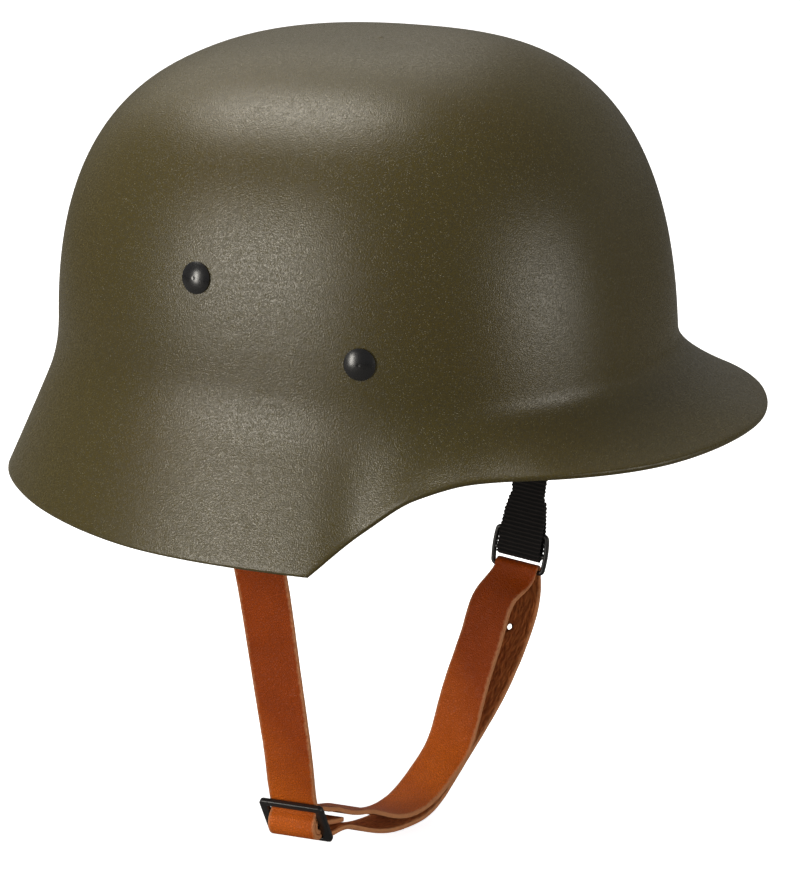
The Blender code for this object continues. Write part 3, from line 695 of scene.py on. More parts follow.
# %% [markdown]
# ## The way of the strap
# The leather strap starts under the rear rivet, comes down beside the cheek to a slider, goes
# under the chin and up to a small loop on the other side, turns round the loop's lower bar and
# comes all the way back inside itself to the slider's middle bar. That is how its length is set.
# The way was measured from the photo. It is written as rows of places, so that the strip, the
# slider and the loop are all made from the same numbers and fit each other.

# %% Places on the strap's way
STRAP_DROP = 0.143
STRAP_END = 0.009
FOLD_SHARE = 0.93
END_WIDTH_SHARE = 0.75
END_CORNER_SHARE = 0.8
SLIDER_BAR = 0.0027
SLIDER_LOWEST_BAR = 0.0018
SLIDER_MIDDLE_DROP = 0.0011
SLIDER_THICKNESS = 0.0022
SLIDER_SIDE = 0.0033
SLIDER_CORNER = 0.0016
SLOT_PLAY = 0.0013
SLIDER_TILT = 29.4
BAR_ROUNDING = 0.88
SLOT_DEPTH_SHARE = 0.7
OUTER_WRAP = (5.0, 175.0)
INNER_WRAP = (0.0, 180.0)
LOOP_HEIGHT = 0.0175
LOOP_WIRE = 0.0020
LOOP_BAR = 0.0020
LOOP_CORNER = 0.0013
CENTRE_BAR_SHARE = -0.04
PUNCH_ROW = 8
WRAP_STEPS = 8
FOLD_STEPS = 6
RunRow = namedtuple("RunRow", "side fore drop turn")
NEAR_RUN = (
    RunRow(-0.905, 0.250, -0.420, 2.0),
    RunRow(-0.870, 0.190, -0.150, -10.0),
    RunRow(-0.830, 0.145, 0.090, -16.0),
    RunRow(-0.790, 0.105, 0.400, -7.0),
    RunRow(-0.752, 0.082, 0.640, -2.0),
)
SLIDER_PLACE = RunRow(-0.664, 0.098, 0.830, 0.0)
OUTER_RUN = (
    RunRow(-0.520, 0.083, 0.877, 0.0),
    RunRow(-0.370, 0.077, 0.908, 0.0),
    RunRow(-0.140, 0.063, 0.973, 0.0),
    RunRow(0.050, 0.049, 1.000, 0.0),
    RunRow(0.232, 0.026, 0.995, 0.0),
    RunRow(0.400, -0.005, 0.928, 0.0),
    RunRow(0.545, -0.048, 0.838, 0.0),
    RunRow(0.664, -0.104, 0.732, 0.0),
    RunRow(0.792, -0.163, 0.572, 0.0),
    RunRow(0.840, -0.182, 0.475, 0.0),
)
INNER_RUN = (
    RunRow(0.751, -0.132, 0.462, 9.0),
    RunRow(0.676, -0.099, 0.560, 9.0),
    RunRow(0.603, -0.070, 0.671, 5.0),
    RunRow(0.543, -0.048, 0.771, 0.0),
    RunRow(0.469, -0.026, 0.874, 0.0),
    RunRow(0.385, -0.004, 0.922, 0.0),
    RunRow(0.232, 0.026, 0.972, 0.0),
    RunRow(0.050, 0.049, 0.972, 0.0),
    RunRow(-0.100, 0.060, 0.937, 0.0),
    RunRow(-0.250, 0.070, 0.890, 0.0),
    RunRow(-0.440, 0.080, 0.845, 0.0),
)
LOOP_PLACE = RunRow(0.850, -0.188, 0.352, 0.0)
SliderRow = namedtuple("SliderRow", "down out")
INNER_ENTRY = (
    SliderRow(0.90, -1.75),
    SliderRow(0.10, -1.05),
    SliderRow(-0.42, -0.50),
)
TUCKED_END = (
    SliderRow(0.39, -0.32),
    SliderRow(0.61, -0.68),
    SliderRow(0.96, -1.05),
    SliderRow(1.33, -1.41),
    SliderRow(1.73, -1.87),
)
Place = namedtuple("Place", "point width share")


def run_point(row):
    """Point of a row on the strap's way, in the frame."""
    below_edge = Vector((row.side * HALF_WIDTH, row.fore * HALF_WIDTH, -row.drop * STRAP_DROP))
    return below_edge + EDGE_LEVEL


def run_places(rows):
    """Places of a table's rows, each with the direction of the strap's width."""
    places = []
    for row in rows:
        turned = math.radians(row.turn)
        places.append(Place(run_point(row), Vector((-math.sin(turned), -math.cos(turned), 0)), 1.0))
    return places


def anchor_places(place, width, thickness, end, share=1.0):
    """First places of a strip that a rivet holds, from its cut end down past the rivet."""
    here = rivet_frame(place)
    across, up, normal = (here.col[k].to_3d() for k in range(3))
    if across.y > 0:
        across = -across
    middle = here.translation - normal * (held_depth(width * share) + thickness / 2)
    return [
        Place(middle + up * end, across, share * END_WIDTH_SHARE),
        Place(middle + up * end * END_CORNER_SHARE, across, share),
        Place(middle, across, share),
        Place(middle - up * end, across, share),
    ]


# %% Places in the slider and in the loop
def slider_axes():
    """Slider's directions: down its frame, out of its face and along its bars."""
    tilt = math.radians(SLIDER_TILT)
    down = Vector((math.sin(tilt), 0.0, -math.cos(tilt)))
    out = Vector((-math.cos(tilt), 0.0, -math.sin(tilt)))
    return down, out, Vector((0.0, -1.0, 0.0))


def slider_place(along, out):
    """Place in the slider's frame."""
    down, face, bars = slider_axes()
    return Place(run_point(SLIDER_PLACE) + down * along + face * out, bars, 1.0)


def around_bar(layer, wrap):
    """Places of a leather layer round the slider's middle bar, 0 up the frame, 90 at its face."""
    corner = math.hypot(SLIDER_BAR, SLIDER_THICKNESS) / 2 * BAR_ROUNDING
    radius = corner + CLEARANCE + STRAP_THICKNESS / 2 + layer * (STRAP_THICKNESS + CLEARANCE)
    places = []
    for k in range(WRAP_STEPS + 1):
        turned = math.radians(wrap[0] + (wrap[1] - wrap[0]) * k / WRAP_STEPS)
        places.append(slider_place(-radius * math.cos(turned), radius * math.sin(turned)))
    return places


def loop_axes():
    """Directions of the loop: up its frame, out of its face and along its bars."""
    anchor = rivet_frame(RIVETS[1]).translation
    up = (anchor - run_point(LOOP_PLACE)).normalized()
    bars = up.cross(Vector((1.0, 0.0, 0.0))).normalized()
    if bars.y > 0:
        bars = -bars
    out = bars.cross(up).normalized()
    return up, out if out.x > 0 else -out, bars


def loop_place(rise, out, share=1.0):
    """Place in the loop's frame."""
    up, face, bars = loop_axes()
    return Place(run_point(LOOP_PLACE) + up * rise + face * out, bars, share)


def around_loop_bar(centre, radius, first, last, steps, share=1.0):
    """Places round one of the loop's bars, 0 at its face, 90 up the frame."""
    places = []
    for k in range(steps + 1):
        turned = math.radians(first + (last - first) * k / steps)
        rise = centre + radius * math.sin(turned)
        places.append(loop_place(rise, radius * math.cos(turned), share))
    return places


SLIDER_PITCH = SLIDER_BAR + 2 * STRAP_THICKNESS + 3 * CLEARANCE + SLOT_PLAY
SLOT_ABOVE = (-SLIDER_PITCH - SLIDER_MIDDLE_DROP + SLIDER_BAR / 2, -SLIDER_BAR / 2)
SLOT_BELOW = (SLIDER_BAR / 2, SLIDER_PITCH - SLIDER_MIDDLE_DROP - SLIDER_LOWEST_BAR / 2)
LOOP_HALF = (LOOP_HEIGHT - LOOP_WIRE) / 2


def strap_places():
    """Leather strap from the rear right rivet through the slider to the loop and back."""
    behind = -(SLIDER_THICKNESS / 2 + 2 * CLEARANCE + STRAP_THICKNESS / 2)
    beside = CLEARANCE + STRAP_THICKNESS / 2
    above, below = SLOT_ABOVE[0], SLOT_BELOW[1]
    fold = LOOP_WIRE / 2 + CLEARANCE + STRAP_THICKNESS / 2
    in_slot = SLOT_DEPTH_SHARE * behind
    places = anchor_places(RIVETS[2], STRAP_WIDTH, STRAP_THICKNESS, STRAP_END)
    places += run_places(NEAR_RUN)
    places += [slider_place(above - SLIDER_BAR / 2, behind), slider_place(above + beside, in_slot)]
    places += around_bar(1, OUTER_WRAP)
    past = below + SLIDER_LOWEST_BAR / 2
    places += [slider_place(below - beside, in_slot), slider_place(past, behind)]
    places += run_places(OUTER_RUN)
    places += around_loop_bar(-LOOP_HALF, fold, 0, 180, FOLD_STEPS, FOLD_SHARE)
    places += run_places(INNER_RUN)
    places += [slider_place(r.down * SLIDER_PITCH, r.out * SLIDER_PITCH) for r in INNER_ENTRY]
    places += around_bar(0, INNER_WRAP)
    places += [slider_place(r.down * SLIDER_PITCH, r.out * SLIDER_PITCH) for r in TUCKED_END]
    return places


print("places on the strap's way:", len(strap_places()))

# %% [markdown]
# ## Strips of leather and webbing
# A strip is flat stock: a rounded rectangle of even thickness that follows a smooth line. We
# pass a natural spline through the places, sample it closely where it turns, and set the
# section across it. Every point also keeps where it lies on the flat strip, across and along
# and whether it is on the smooth face or on the back, so that grain, suede and ribs follow the
# strip round its bends instead of sliding through it.

# %% Strip helpers
SAMPLE_STEP = 0.0003
LONGEST_STEP = 0.0020
LARGEST_TURN = 5.0
STRIP_CORNER_STEPS = 2


def spline_through(knots, rows, at):
    """Natural cubic spline through rows of numbers, read at the given knots."""
    count = len(knots)
    step = np.diff(knots)
    system = np.zeros((count, count))
    right = np.zeros((count, rows.shape[1]))
    system[0, 0] = system[-1, -1] = 1.0
    for k in range(1, count - 1):
        system[k, k - 1:k + 2] = step[k - 1], 2 * (step[k - 1] + step[k]), step[k]
        right[k] = 6 * ((rows[k + 1] - rows[k]) / step[k] - (rows[k] - rows[k - 1]) / step[k - 1])
    bend = np.linalg.solve(system, right)
    k = np.clip(np.searchsorted(knots, at, side="right") - 1, 0, count - 2)
    b = ((at - knots[k]) / step[k])[:, None]
    a = 1 - b
    line = a * rows[k] + b * rows[k + 1]
    return line + ((a ** 3 - a) * bend[k] + (b ** 3 - b) * bend[k + 1]) * step[k][:, None] ** 2 / 6


Section = namedtuple("Section", "point across normal share along")


def strip_sections(places, longest=LONGEST_STEP):
    """Smooth sections along a strip, closer together where it turns."""
    points = np.array([tuple(p.point) for p in places])
    knots = np.concatenate([[0.0], np.cumsum(np.linalg.norm(np.diff(points, axis=0), axis=1))])
    at = np.linspace(0, knots[-1], int(knots[-1] / SAMPLE_STEP))
    line = spline_through(knots, points, at)
    tangents = np.gradient(line, axis=0)
    tangents /= np.linalg.norm(tangents, axis=1)[:, None]
    widths = np.stack([np.interp(at, knots, [p.width[k] for p in places]) for k in range(3)], 1)
    shares = np.interp(at, knots, [p.share for p in places])
    chosen = [0]
    for k in range(1, len(at)):
        turned = math.degrees(math.acos(min(1.0, float(tangents[k] @ tangents[chosen[-1]]))))
        if turned > LARGEST_TURN or at[k] - at[chosen[-1]] > longest:
            chosen.append(k)
    chosen.append(len(at) - 1)
    sections = []
    for k in chosen:
        tangent = Vector(tangents[k])
        width = Vector(widths[k])
        width = (width - tangent * width.dot(tangent)).normalized()
        sections.append(Section(Vector(line[k]), width, tangent.cross(width),
                                float(shares[k]), float(at[k])))
    return sections


def strip_profile(width, thickness, corner, flat_steps):
    """Rounded rectangle as (across, out) points, once round from the back to the face."""
    profile = []
    half, deep = width / 2 - corner, thickness / 2 - corner
    for side_x, side_z, first in ((1, -1, -90), (1, 1, 0), (-1, 1, 90), (-1, -1, 180)):
        for k in range(STRIP_CORNER_STEPS + 1):
            turned = math.radians(first + 90 * k / STRIP_CORNER_STEPS)
            profile.append((side_x * half + corner * math.cos(turned),
                            side_z * deep + corner * math.sin(turned)))
        if side_x == side_z:
            for k in range(1, flat_steps):
                profile.append((side_x * half * (1 - 2 * k / flat_steps), side_z * thickness / 2))
    return profile


def strip(name, places, profile, width, thickness, longest=LONGEST_STEP, shape=None):
    """Closed strip along the places. shape may move a section's (across, out) point."""
    sections = strip_sections(places, longest)
    count = len(profile)
    points, flats = [], []
    for section in sections:
        for across, out in profile:
            flat = (across * section.share, section.along, out)
            moved_across, moved_out = shape(section, across, out) if shape else (across, out)
            points.append(section.point + section.across * moved_across * section.share
                          + section.normal * moved_out)
            flats.append(flat)
    faces = []
    for k in range(len(sections) - 1):
        for c in range(count):
            after = (c + 1) % count
            faces.append((k * count + c, (k + 1) * count + c,
                          (k + 1) * count + after, k * count + after))
    faces.append(tuple(range(count)))
    faces.append(tuple(reversed(range(len(points) - count, len(points)))))
    mesh = mesh_of(name, points, faces)
    store(mesh, "flat_place", flats)
    store(mesh, "face_side", [0.5 + out / thickness for _, _, out in flats])
    store(mesh, "edge", [max(0.0, 1 - (width / 2 - abs(across)) / thickness)
                         for across, _, _ in flats])
    face_outwards(mesh)
    piece = shade(add_object(name, mesh))
    print(f"{name}: {sections[-1].along * 1000:.1f} mm long, {len(sections)} sections")
    return piece


# %% [markdown]
# ## The leather strap
# Vegetable or chrome tanned leather is cut in a long strip with a rotary knife, so its edges are
# nearly square, with the smooth side printed with a fine grain and suede on the back. The strip
# helper gives the form. A slow wave in its thickness and edge keeps it from looking stamped, and
# a round cutter punches the rivet's hole and one adjustment hole, as a hand punch does.

# %% Leather strap
LEATHER_CORNER = 0.00035
LEATHER_FLAT_STEPS = 10
PUNCH_RADIUS = 0.0013
PUNCH_SIDES = 32
EDGE_WAVE = 0.00012
EDGE_WAVE_LENGTH = 0.006
EDGE_WAVE_REACH = 4
SWELL_SHARE = 0.4
SWELL_ACROSS = 150
CUT_SEED = 3.0
SWELL_SEED = 7.0


def leather_shape(section, across, out):
    """Uneven knife cut and a slow wave in the strap's surface."""
    along = section.along / EDGE_WAVE_LENGTH
    waver = noise.noise(Vector((along, math.copysign(CUT_SEED, across), 0)))
    swell = noise.noise(Vector((along / 2, SWELL_SEED, across * SWELL_ACROSS)))
    reach = (abs(across) / (STRAP_WIDTH / 2)) ** EDGE_WAVE_REACH
    return (across + math.copysign(EDGE_WAVE, across) * waver * reach,
            out + SWELL_SHARE * EDGE_WAVE * swell)


def rod(name, middle, direction, radius, length, sides):
    """Round rod about its middle point, as a helper object."""
    turned = direction.to_track_quat("Z", "Y").to_matrix().to_4x4()
    turned.translation = middle
    shape = bmesh.new()
    bmesh.ops.create_cone(shape, cap_ends=True, segments=sides, radius1=radius, radius2=radius,
                          depth=length, matrix=turned)
    mesh = bpy.data.meshes.new(name)
    shape.to_mesh(mesh)
    shape.free()
    return add_object(name, mesh)


def combine(piece, helper, operation):
    """Cuts a helper out of a piece or joins it on, and removes the helper."""
    modifier = piece.modifiers.new(helper.name, "BOOLEAN")
    modifier.operation = operation
    modifier.object = helper
    bake_modifiers(piece)
    drop_object(helper)
    return piece


def punch(piece, hole, radius, thickness):
    """Cuts a round hole through a piece at a (point, direction)."""
    point, direction = hole
    cutter = rod("punch", point, direction, radius, 2 * thickness, PUNCH_SIDES)
    return combine(piece, cutter, "DIFFERENCE")


def anchor_hole(place, width, thickness):
    """Point and direction of the hole for the rivet that holds a strip."""
    here = rivet_frame(place)
    normal = here.col[2].to_3d()
    return here.translation - normal * (held_depth(width) + thickness / 2), normal


def row_hole(rows, k):
    """Point and direction of a punched hole at a row of a table."""
    before, here, after = (run_point(rows[k + step]) for step in (-1, 0, 1))
    across = run_places(rows[k:k + 1])[0].width
    return here, (after - before).cross(across).normalized()


leather_profile = strip_profile(STRAP_WIDTH, STRAP_THICKNESS, LEATHER_CORNER, LEATHER_FLAT_STEPS)
leather_strap = strip("leather_strap", strap_places(), leather_profile, STRAP_WIDTH,
                      STRAP_THICKNESS, shape=leather_shape)
punch(leather_strap, anchor_hole(RIVETS[2], STRAP_WIDTH, STRAP_THICKNESS),
      SHANK_RADIUS + CLEARANCE, STRAP_THICKNESS)
punch(leather_strap, row_hole(OUTER_RUN, PUNCH_ROW), PUNCH_RADIUS, STRAP_THICKNESS)
print("leather strap triangles:", triangles(leather_strap))

# %% [markdown]
# ## The elastic webbing
# Elastic webbing is woven with ribs across it, and it gathers where it is squeezed. The strip
# gives the flat band, with a scrunch in the slack part above the loop. Ribs repeat along the
# whole length, so Geometry Nodes raise them: every point moves out along its own direction by a
# wave of its place along the band. The same wave gives the scalloped edge that such webbing has.

# %% Webbing strip
WEB_END = 0.008
WEB_RETURN = 0.012
WEB_CORNER = 0.0003
WEB_FLAT_STEPS = 12
WEB_STEP = 0.00034
SCRUNCH = 0.0007
SCRUNCH_LENGTH = 0.0042
SCRUNCH_SWELL = 0.35
FOLDS_ACROSS = 120
FOLD_SEED = 2.0
DRAW_SIDE_SEED = 5.0
DRAW_SEED = 4.0
WebRow = namedtuple("WebRow", "rise share")
WEB_DOWN = (
    WebRow(2.6, GATHER_SHARE),
    WebRow(1.2, GATHER_SHARE),
    WebRow(0.5, 0.97),
)
WEB_UP = (
    WebRow(0.5, 0.95),
    WebRow(1.0, 0.84),
)


def web_places():
    """Webbing from the front left rivet down round the loop's middle bar and up again."""
    wrap = LOOP_BAR / 2 + CLEARANCE + WEB_THICKNESS / 2
    past = LOOP_WIRE / 2 + CLEARANCE + WEB_THICKNESS / 2
    layers = WEB_THICKNESS + CLEARANCE
    above = LOOP_HALF + LOOP_WIRE
    places = anchor_places(RIVETS[1], WEB_WIDTH, WEB_THICKNESS, WEB_END, GATHER_SHARE)
    for row in WEB_DOWN:
        places.append(loop_place(above + row.rise * WEB_RETURN, -layers / 2, row.share))
    places.append(loop_place(LOOP_HALF, -past))
    places += around_loop_bar(CENTRE_BAR_SHARE * LOOP_HEIGHT, wrap, -180, 0, WRAP_STEPS)
    places.append(loop_place(LOOP_HALF, past))
    for row in WEB_UP:
        places.append(loop_place(above + row.rise * WEB_RETURN, layers / 2, row.share))
    return places


def web_shape(section, across, out):
    """Scrunch of the slack band: soft folds across it and edges that draw in unevenly."""
    slack = min(1.0, max(0.0, (1.0 - section.share) / (1.0 - GATHER_SHARE)))
    along = section.along / SCRUNCH_LENGTH
    fold = noise.noise(Vector((across * FOLDS_ACROSS, along, FOLD_SEED)))
    draw = noise.noise(Vector((math.copysign(DRAW_SIDE_SEED, across), along, DRAW_SEED)))
    reach = abs(across) / (WEB_WIDTH / 2)
    return (across + math.copysign(SCRUNCH, across) * draw * slack * reach,
            out + SCRUNCH_SWELL * SCRUNCH * fold * slack)


web_profile = strip_profile(WEB_WIDTH, WEB_THICKNESS, WEB_CORNER, WEB_FLAT_STEPS)
webbing = strip("webbing", web_places(), web_profile, WEB_WIDTH, WEB_THICKNESS, WEB_STEP, web_shape)


# %% Ribs of the webbing
RIB_PITCH = 0.00165
RIB_HEIGHT = 0.00026
RIB_WAVER = 0.35
RIB_WAVER_SCALE = 400.0


def rib_wave(tree, place, pitch, waver):
    """Wave from -1 to 1 along a flat strip, a crest on each rib, for shape and painted highlight.
    """
    along = node(tree, "ShaderNodeSeparateXYZ", {0: place}).outputs["Y"]
    cloud = node(tree, "ShaderNodeTexNoise", {"Vector": place, "Scale": RIB_WAVER_SCALE})
    shift = maths(tree, "MULTIPLY", cloud.outputs["Fac"], waver)
    turns = maths(tree, "ADD", maths(tree, "DIVIDE", along, pitch), shift)
    return maths(tree, "SINE", maths(tree, "MULTIPLY", turns, TAU))


def rib_tree():
    """Tree that raises ribs along the flat place of a strip."""
    sockets = (("Rib Pitch", "NodeSocketFloat"), ("Rib Height", "NodeSocketFloat"),
               ("Waver", "NodeSocketFloat"), ("Material", "NodeSocketMaterial"))
    tree, into, out = new_tree("ribs along a strip", sockets)
    wave = rib_wave(tree, stored_value(tree, "flat_place", "FLOAT_VECTOR"),
                    into.outputs["Rib Pitch"], into.outputs["Waver"])
    height = maths(tree, "MULTIPLY", wave, into.outputs["Rib Height"])
    normal = node(tree, "GeometryNodeInputNormal")
    offset = node(tree, "ShaderNodeVectorMath", {0: normal.outputs[0], "Scale": height},
                  operation="SCALE")
    raised = node(tree, "GeometryNodeSetPosition",
                  {"Geometry": into.outputs["Geometry"], "Offset": offset.outputs["Vector"]})
    return finish_tree(tree, raised.outputs["Geometry"], into.outputs["Material"], out)


web_cloth = bpy.data.materials.new("ribbed webbing")
punch(webbing, anchor_hole(RIVETS[1], WEB_WIDTH * GATHER_SHARE, WEB_THICKNESS),
      SHANK_RADIUS + CLEARANCE, WEB_THICKNESS)
run_tree(webbing, rib_tree(), {"Rib Pitch": RIB_PITCH, "Rib Height": RIB_HEIGHT, "Waver": RIB_WAVER,
                               "Material": web_cloth})
print("webbing triangles:", triangles(webbing))

# %% [markdown]
# ## The slider
# The slider is one moulded plate with two slots, which leaves three bars. The strap passes
# behind the outer bars and over the middle one, and friction holds it. The plate is a box with
# round corners, the slots are cut out, and every edge gets a small bevel, as on the real part,
# where the bevel shows as a bright line along the upper bar.

# %% Slider
SLIDER_BEVEL = 0.0005
BEVEL_STEPS = 3
BEVEL_ANGLE = 50.0
SLIDER_SHARP_ANGLE = 30.0
SLIDER_CORNER_STEPS = 6
UPRIGHT_SHARE = 0.5
ROUND_PROFILE = 0.5


def is_upright(edge):
    """Whether an edge runs up rather than across."""
    first, last = (vertex.co for vertex in edge.verts)
    return abs((first - last).normalized().z) > UPRIGHT_SHARE


def plate(name, boxes, corner):
    """Boxes of the given centres and sizes, with rounded upright edges."""
    shape = bmesh.new()
    for centre, size in boxes:
        made = bmesh.ops.create_cube(shape, size=1.0)
        bmesh.ops.scale(shape, vec=size, verts=made["verts"])
        bmesh.ops.translate(shape, vec=centre, verts=made["verts"])
    upright = [edge for edge in shape.edges if is_upright(edge)]
    bmesh.ops.bevel(shape, geom=upright, offset=corner, segments=SLIDER_CORNER_STEPS,
                    profile=ROUND_PROFILE, affect="EDGES")
    mesh = bpy.data.meshes.new(name)
    shape.to_mesh(mesh)
    shape.free()
    return add_object(name, mesh)


slot_length = STRAP_WIDTH + 2 * CLEARANCE
slider_top = SLOT_ABOVE[0] - SLIDER_BAR
slider_bottom = SLOT_BELOW[1] + SLIDER_LOWEST_BAR
slider_size = Vector((slot_length + 2 * SLIDER_SIDE, slider_bottom - slider_top, SLIDER_THICKNESS))
slider_middle = Vector((0, (slider_top + slider_bottom) / 2, 0))
slider = plate("slider", [(slider_middle, slider_size)], SLIDER_CORNER)
slot_boxes = []
for first, last in (SLOT_ABOVE, SLOT_BELOW):
    size = Vector((slot_length, last - first, 4 * SLIDER_THICKNESS))
    slot_boxes.append((Vector((0, (first + last) / 2, 0)), size))
slots = plate("slots", slot_boxes, SLIDER_BEVEL)
combine(slider, slots, "DIFFERENCE")
soften = slider.modifiers.new("soft edges", "BEVEL")
soften.width = SLIDER_BEVEL
soften.segments = BEVEL_STEPS
soften.limit_method = "ANGLE"
soften.angle_limit = math.radians(BEVEL_ANGLE)
bake_modifiers(slider)
down, _, bars = slider_axes()
set_in_strap = Matrix((bars, down, bars.cross(down))).transposed().to_4x4()
set_in_strap.translation = run_point(SLIDER_PLACE)
slider.data.transform(set_in_strap)
shade(slider, SLIDER_SHARP_ANGLE)
print("slider in mm:", [round(v * 1000, 1) for v in slider_size], triangles(slider), "triangles")

# %% [markdown]
# ## The loop
# A small moulded loop with three bars joins the leather to the webbing: the leather turns round
# the lower bar and the webbing round the middle one, and the thin line of light between them
# shows that they don't touch. It is a round wire swept along a rounded frame whose sides bow
# out a little, joined with a straight middle bar.

# %% Loop
LOOP_SIDES = 20
LOOP_CORNER_STEPS = 8
LOOP_SIDE_STEPS = 10
LOOP_BOW = 0.0006


def loop_path():
    """Points of the loop's centre line, once round."""
    up, _, bars = loop_axes()
    middle = run_point(LOOP_PLACE)
    straight = STRAP_WIDTH * FOLD_SHARE / 2 + CLEARANCE
    path = []
    for across, rise in ((1, -1), (1, 1), (-1, 1), (-1, -1)):
        centre = middle + bars * across * straight + up * rise * (LOOP_HALF - LOOP_CORNER)
        first = math.atan2(rise, across) - math.pi / 4
        for k in range(LOOP_CORNER_STEPS + 1):
            turned = first + math.pi / 2 * k / LOOP_CORNER_STEPS
            path.append(centre + (bars * math.cos(turned) + up * math.sin(turned)) * LOOP_CORNER)
        if across == -rise:
            for k in range(1, LOOP_SIDE_STEPS):
                share = k / LOOP_SIDE_STEPS
                climb = rise * (1 - 2 * share) * (LOOP_HALF - LOOP_CORNER)
                path.append(middle + bars * across * (straight + LOOP_CORNER) + up * climb)
    for k, point in enumerate(path):
        climb = (point - middle).dot(up) / LOOP_HALF
        aside = (point - middle).dot(bars)
        bow = LOOP_BOW * (1 - climb * climb) * (1 if abs(aside) > straight else 0)
        path[k] = point + bars * math.copysign(bow, aside)
    return path


def swept_ring(name, path, side, radius, sides):
    """Closed round wire along a flat path that turns about the side direction."""
    points, faces = [], []
    count = len(path)
    for k in range(count):
        tangent = (path[(k + 1) % count] - path[k - 1]).normalized()
        inward = tangent.cross(side)
        for s in range(sides):
            turned = TAU * s / sides
            points.append(path[k] + (inward * math.cos(turned) + side * math.sin(turned)) * radius)
            beside = (s + 1) % sides
            after = (k + 1) % count
            faces.append((k * sides + s, k * sides + beside, after * sides + beside,
                          after * sides + s))
    return face_outwards(mesh_of(name, points, faces))


up, face, bars = loop_axes()
loop = add_object("loop", swept_ring("loop", loop_path(), face, LOOP_WIRE / 2, LOOP_SIDES))
bar_middle = run_point(LOOP_PLACE) + up * CENTRE_BAR_SHARE * LOOP_HEIGHT
bar_reach = STRAP_WIDTH * FOLD_SHARE / 2 + CLEARANCE + LOOP_CORNER
middle_bar = rod("middle_bar", bar_middle, bars, LOOP_BAR / 2, 2 * bar_reach, LOOP_SIDES)
combine(loop, middle_bar, "UNION")
shade(loop, SHARP_ANGLE)
print("loop triangles:", triangles(loop))

# %% [markdown]
# ## Shared effects of the finishes
# Grain, slow drift of a colour and wear along edges appear on more than one material here, so
# each is a shader node group with named inputs, built once. A group only gives colours, masks
# and heights. The shader itself stays in each material, which keeps the export simple.

# %% Shader node helpers
def new_group(name, inputs, outputs):
    """Shader group with named sockets, as (group, in, out)."""
    group = bpy.data.node_groups.new(name, "ShaderNodeTree")
    for label, kind, value in inputs:
        socket = group.interface.new_socket(label, in_out="INPUT", socket_type=kind)
        if value is not None:
            socket.default_value = value
    for label, kind in outputs:
        group.interface.new_socket(label, in_out="OUTPUT", socket_type=kind)
    return group, group.nodes.new("NodeGroupInput"), group.nodes.new("NodeGroupOutput")


def use_group(tree, group, inputs):
    """Places a group in a material with its own values."""
    made = tree.nodes.new("ShaderNodeGroup")
    made.node_tree = group
    for key, value in inputs.items():
        if isinstance(value, bpy.types.NodeSocket):
            tree.links.new(value, made.inputs[key])
        else:
            made.inputs[key].default_value = value
    return made


MIX_FACTOR, MIX_FIRST, MIX_SECOND, MIX_RESULT = 0, 6, 7, 2


def mix_colour(tree, factor, first, second):
    """Colour between two colours by a factor."""
    values = {MIX_FACTOR: factor, MIX_FIRST: first, MIX_SECOND: second}
    return node(tree, "ShaderNodeMix", values, data_type="RGBA").outputs[MIX_RESULT]


def spread(tree, value, low, high, to_low=0.0, to_high=1.0):
    """Stretches a value from one range to another and keeps it inside."""
    made = node(tree, "ShaderNodeMapRange", {"Value": value, "From Min": low, "From Max": high,
                                             "To Min": to_low, "To Max": to_high})
    return made.outputs["Result"]


# %% Grain, drift and wear groups
FLOAT, COLOUR, VECTOR = "NodeSocketFloat", "NodeSocketColor", "NodeSocketVector"
GRAIN_DETAIL = 0.5
GRAIN_ROUGHNESS = 0.6
SPECK_FROM = 0.15
SPECK_TO = 0.5
SPECK_HEIGHT = 0.6
DRIFT_DETAIL = 4.0
DRIFT_FROM = 0.35
DRIFT_TO = 0.65
WEAR_DETAIL = 3.0
WEAR_BREAK = 0.7
WEAR_FROM = 0.75
WEAR_TO = 1.25


def grain_group():
    """Fine uneven surface with single raised specks, at a size given in points per metre."""
    group, into, out = new_group(
        "fine grain", (("Vector", VECTOR, None), ("Scale", FLOAT, 1000.0), ("Specks", FLOAT, 0.1)),
        (("Height", FLOAT), ("Specks", FLOAT), ("Cells", FLOAT)))
    coarse = node(group, "ShaderNodeTexNoise", {"Vector": into.outputs["Vector"],
                                                "Scale": into.outputs["Scale"],
                                                "Detail": GRAIN_DETAIL,
                                                "Roughness": GRAIN_ROUGHNESS})
    cells = node(group, "ShaderNodeTexVoronoi", {"Vector": into.outputs["Vector"],
                                                 "Scale": into.outputs["Scale"]})
    pick = node(group, "ShaderNodeSeparateColor", {0: cells.outputs["Color"]})
    limit = maths(group, "SUBTRACT", 1.0, into.outputs["Specks"])
    chosen = maths(group, "GREATER_THAN", pick.outputs[0], limit)
    round_off = spread(group, cells.outputs["Distance"], SPECK_FROM, SPECK_TO, 1.0, 0.0)
    specks = maths(group, "MULTIPLY", chosen, round_off)
    height = maths(group, "MULTIPLY_ADD", specks, SPECK_HEIGHT, coarse.outputs["Fac"])
    group.links.new(height, out.inputs["Height"])
    group.links.new(specks, out.inputs["Specks"])
    group.links.new(pick.outputs[1], out.inputs["Cells"])
    return group


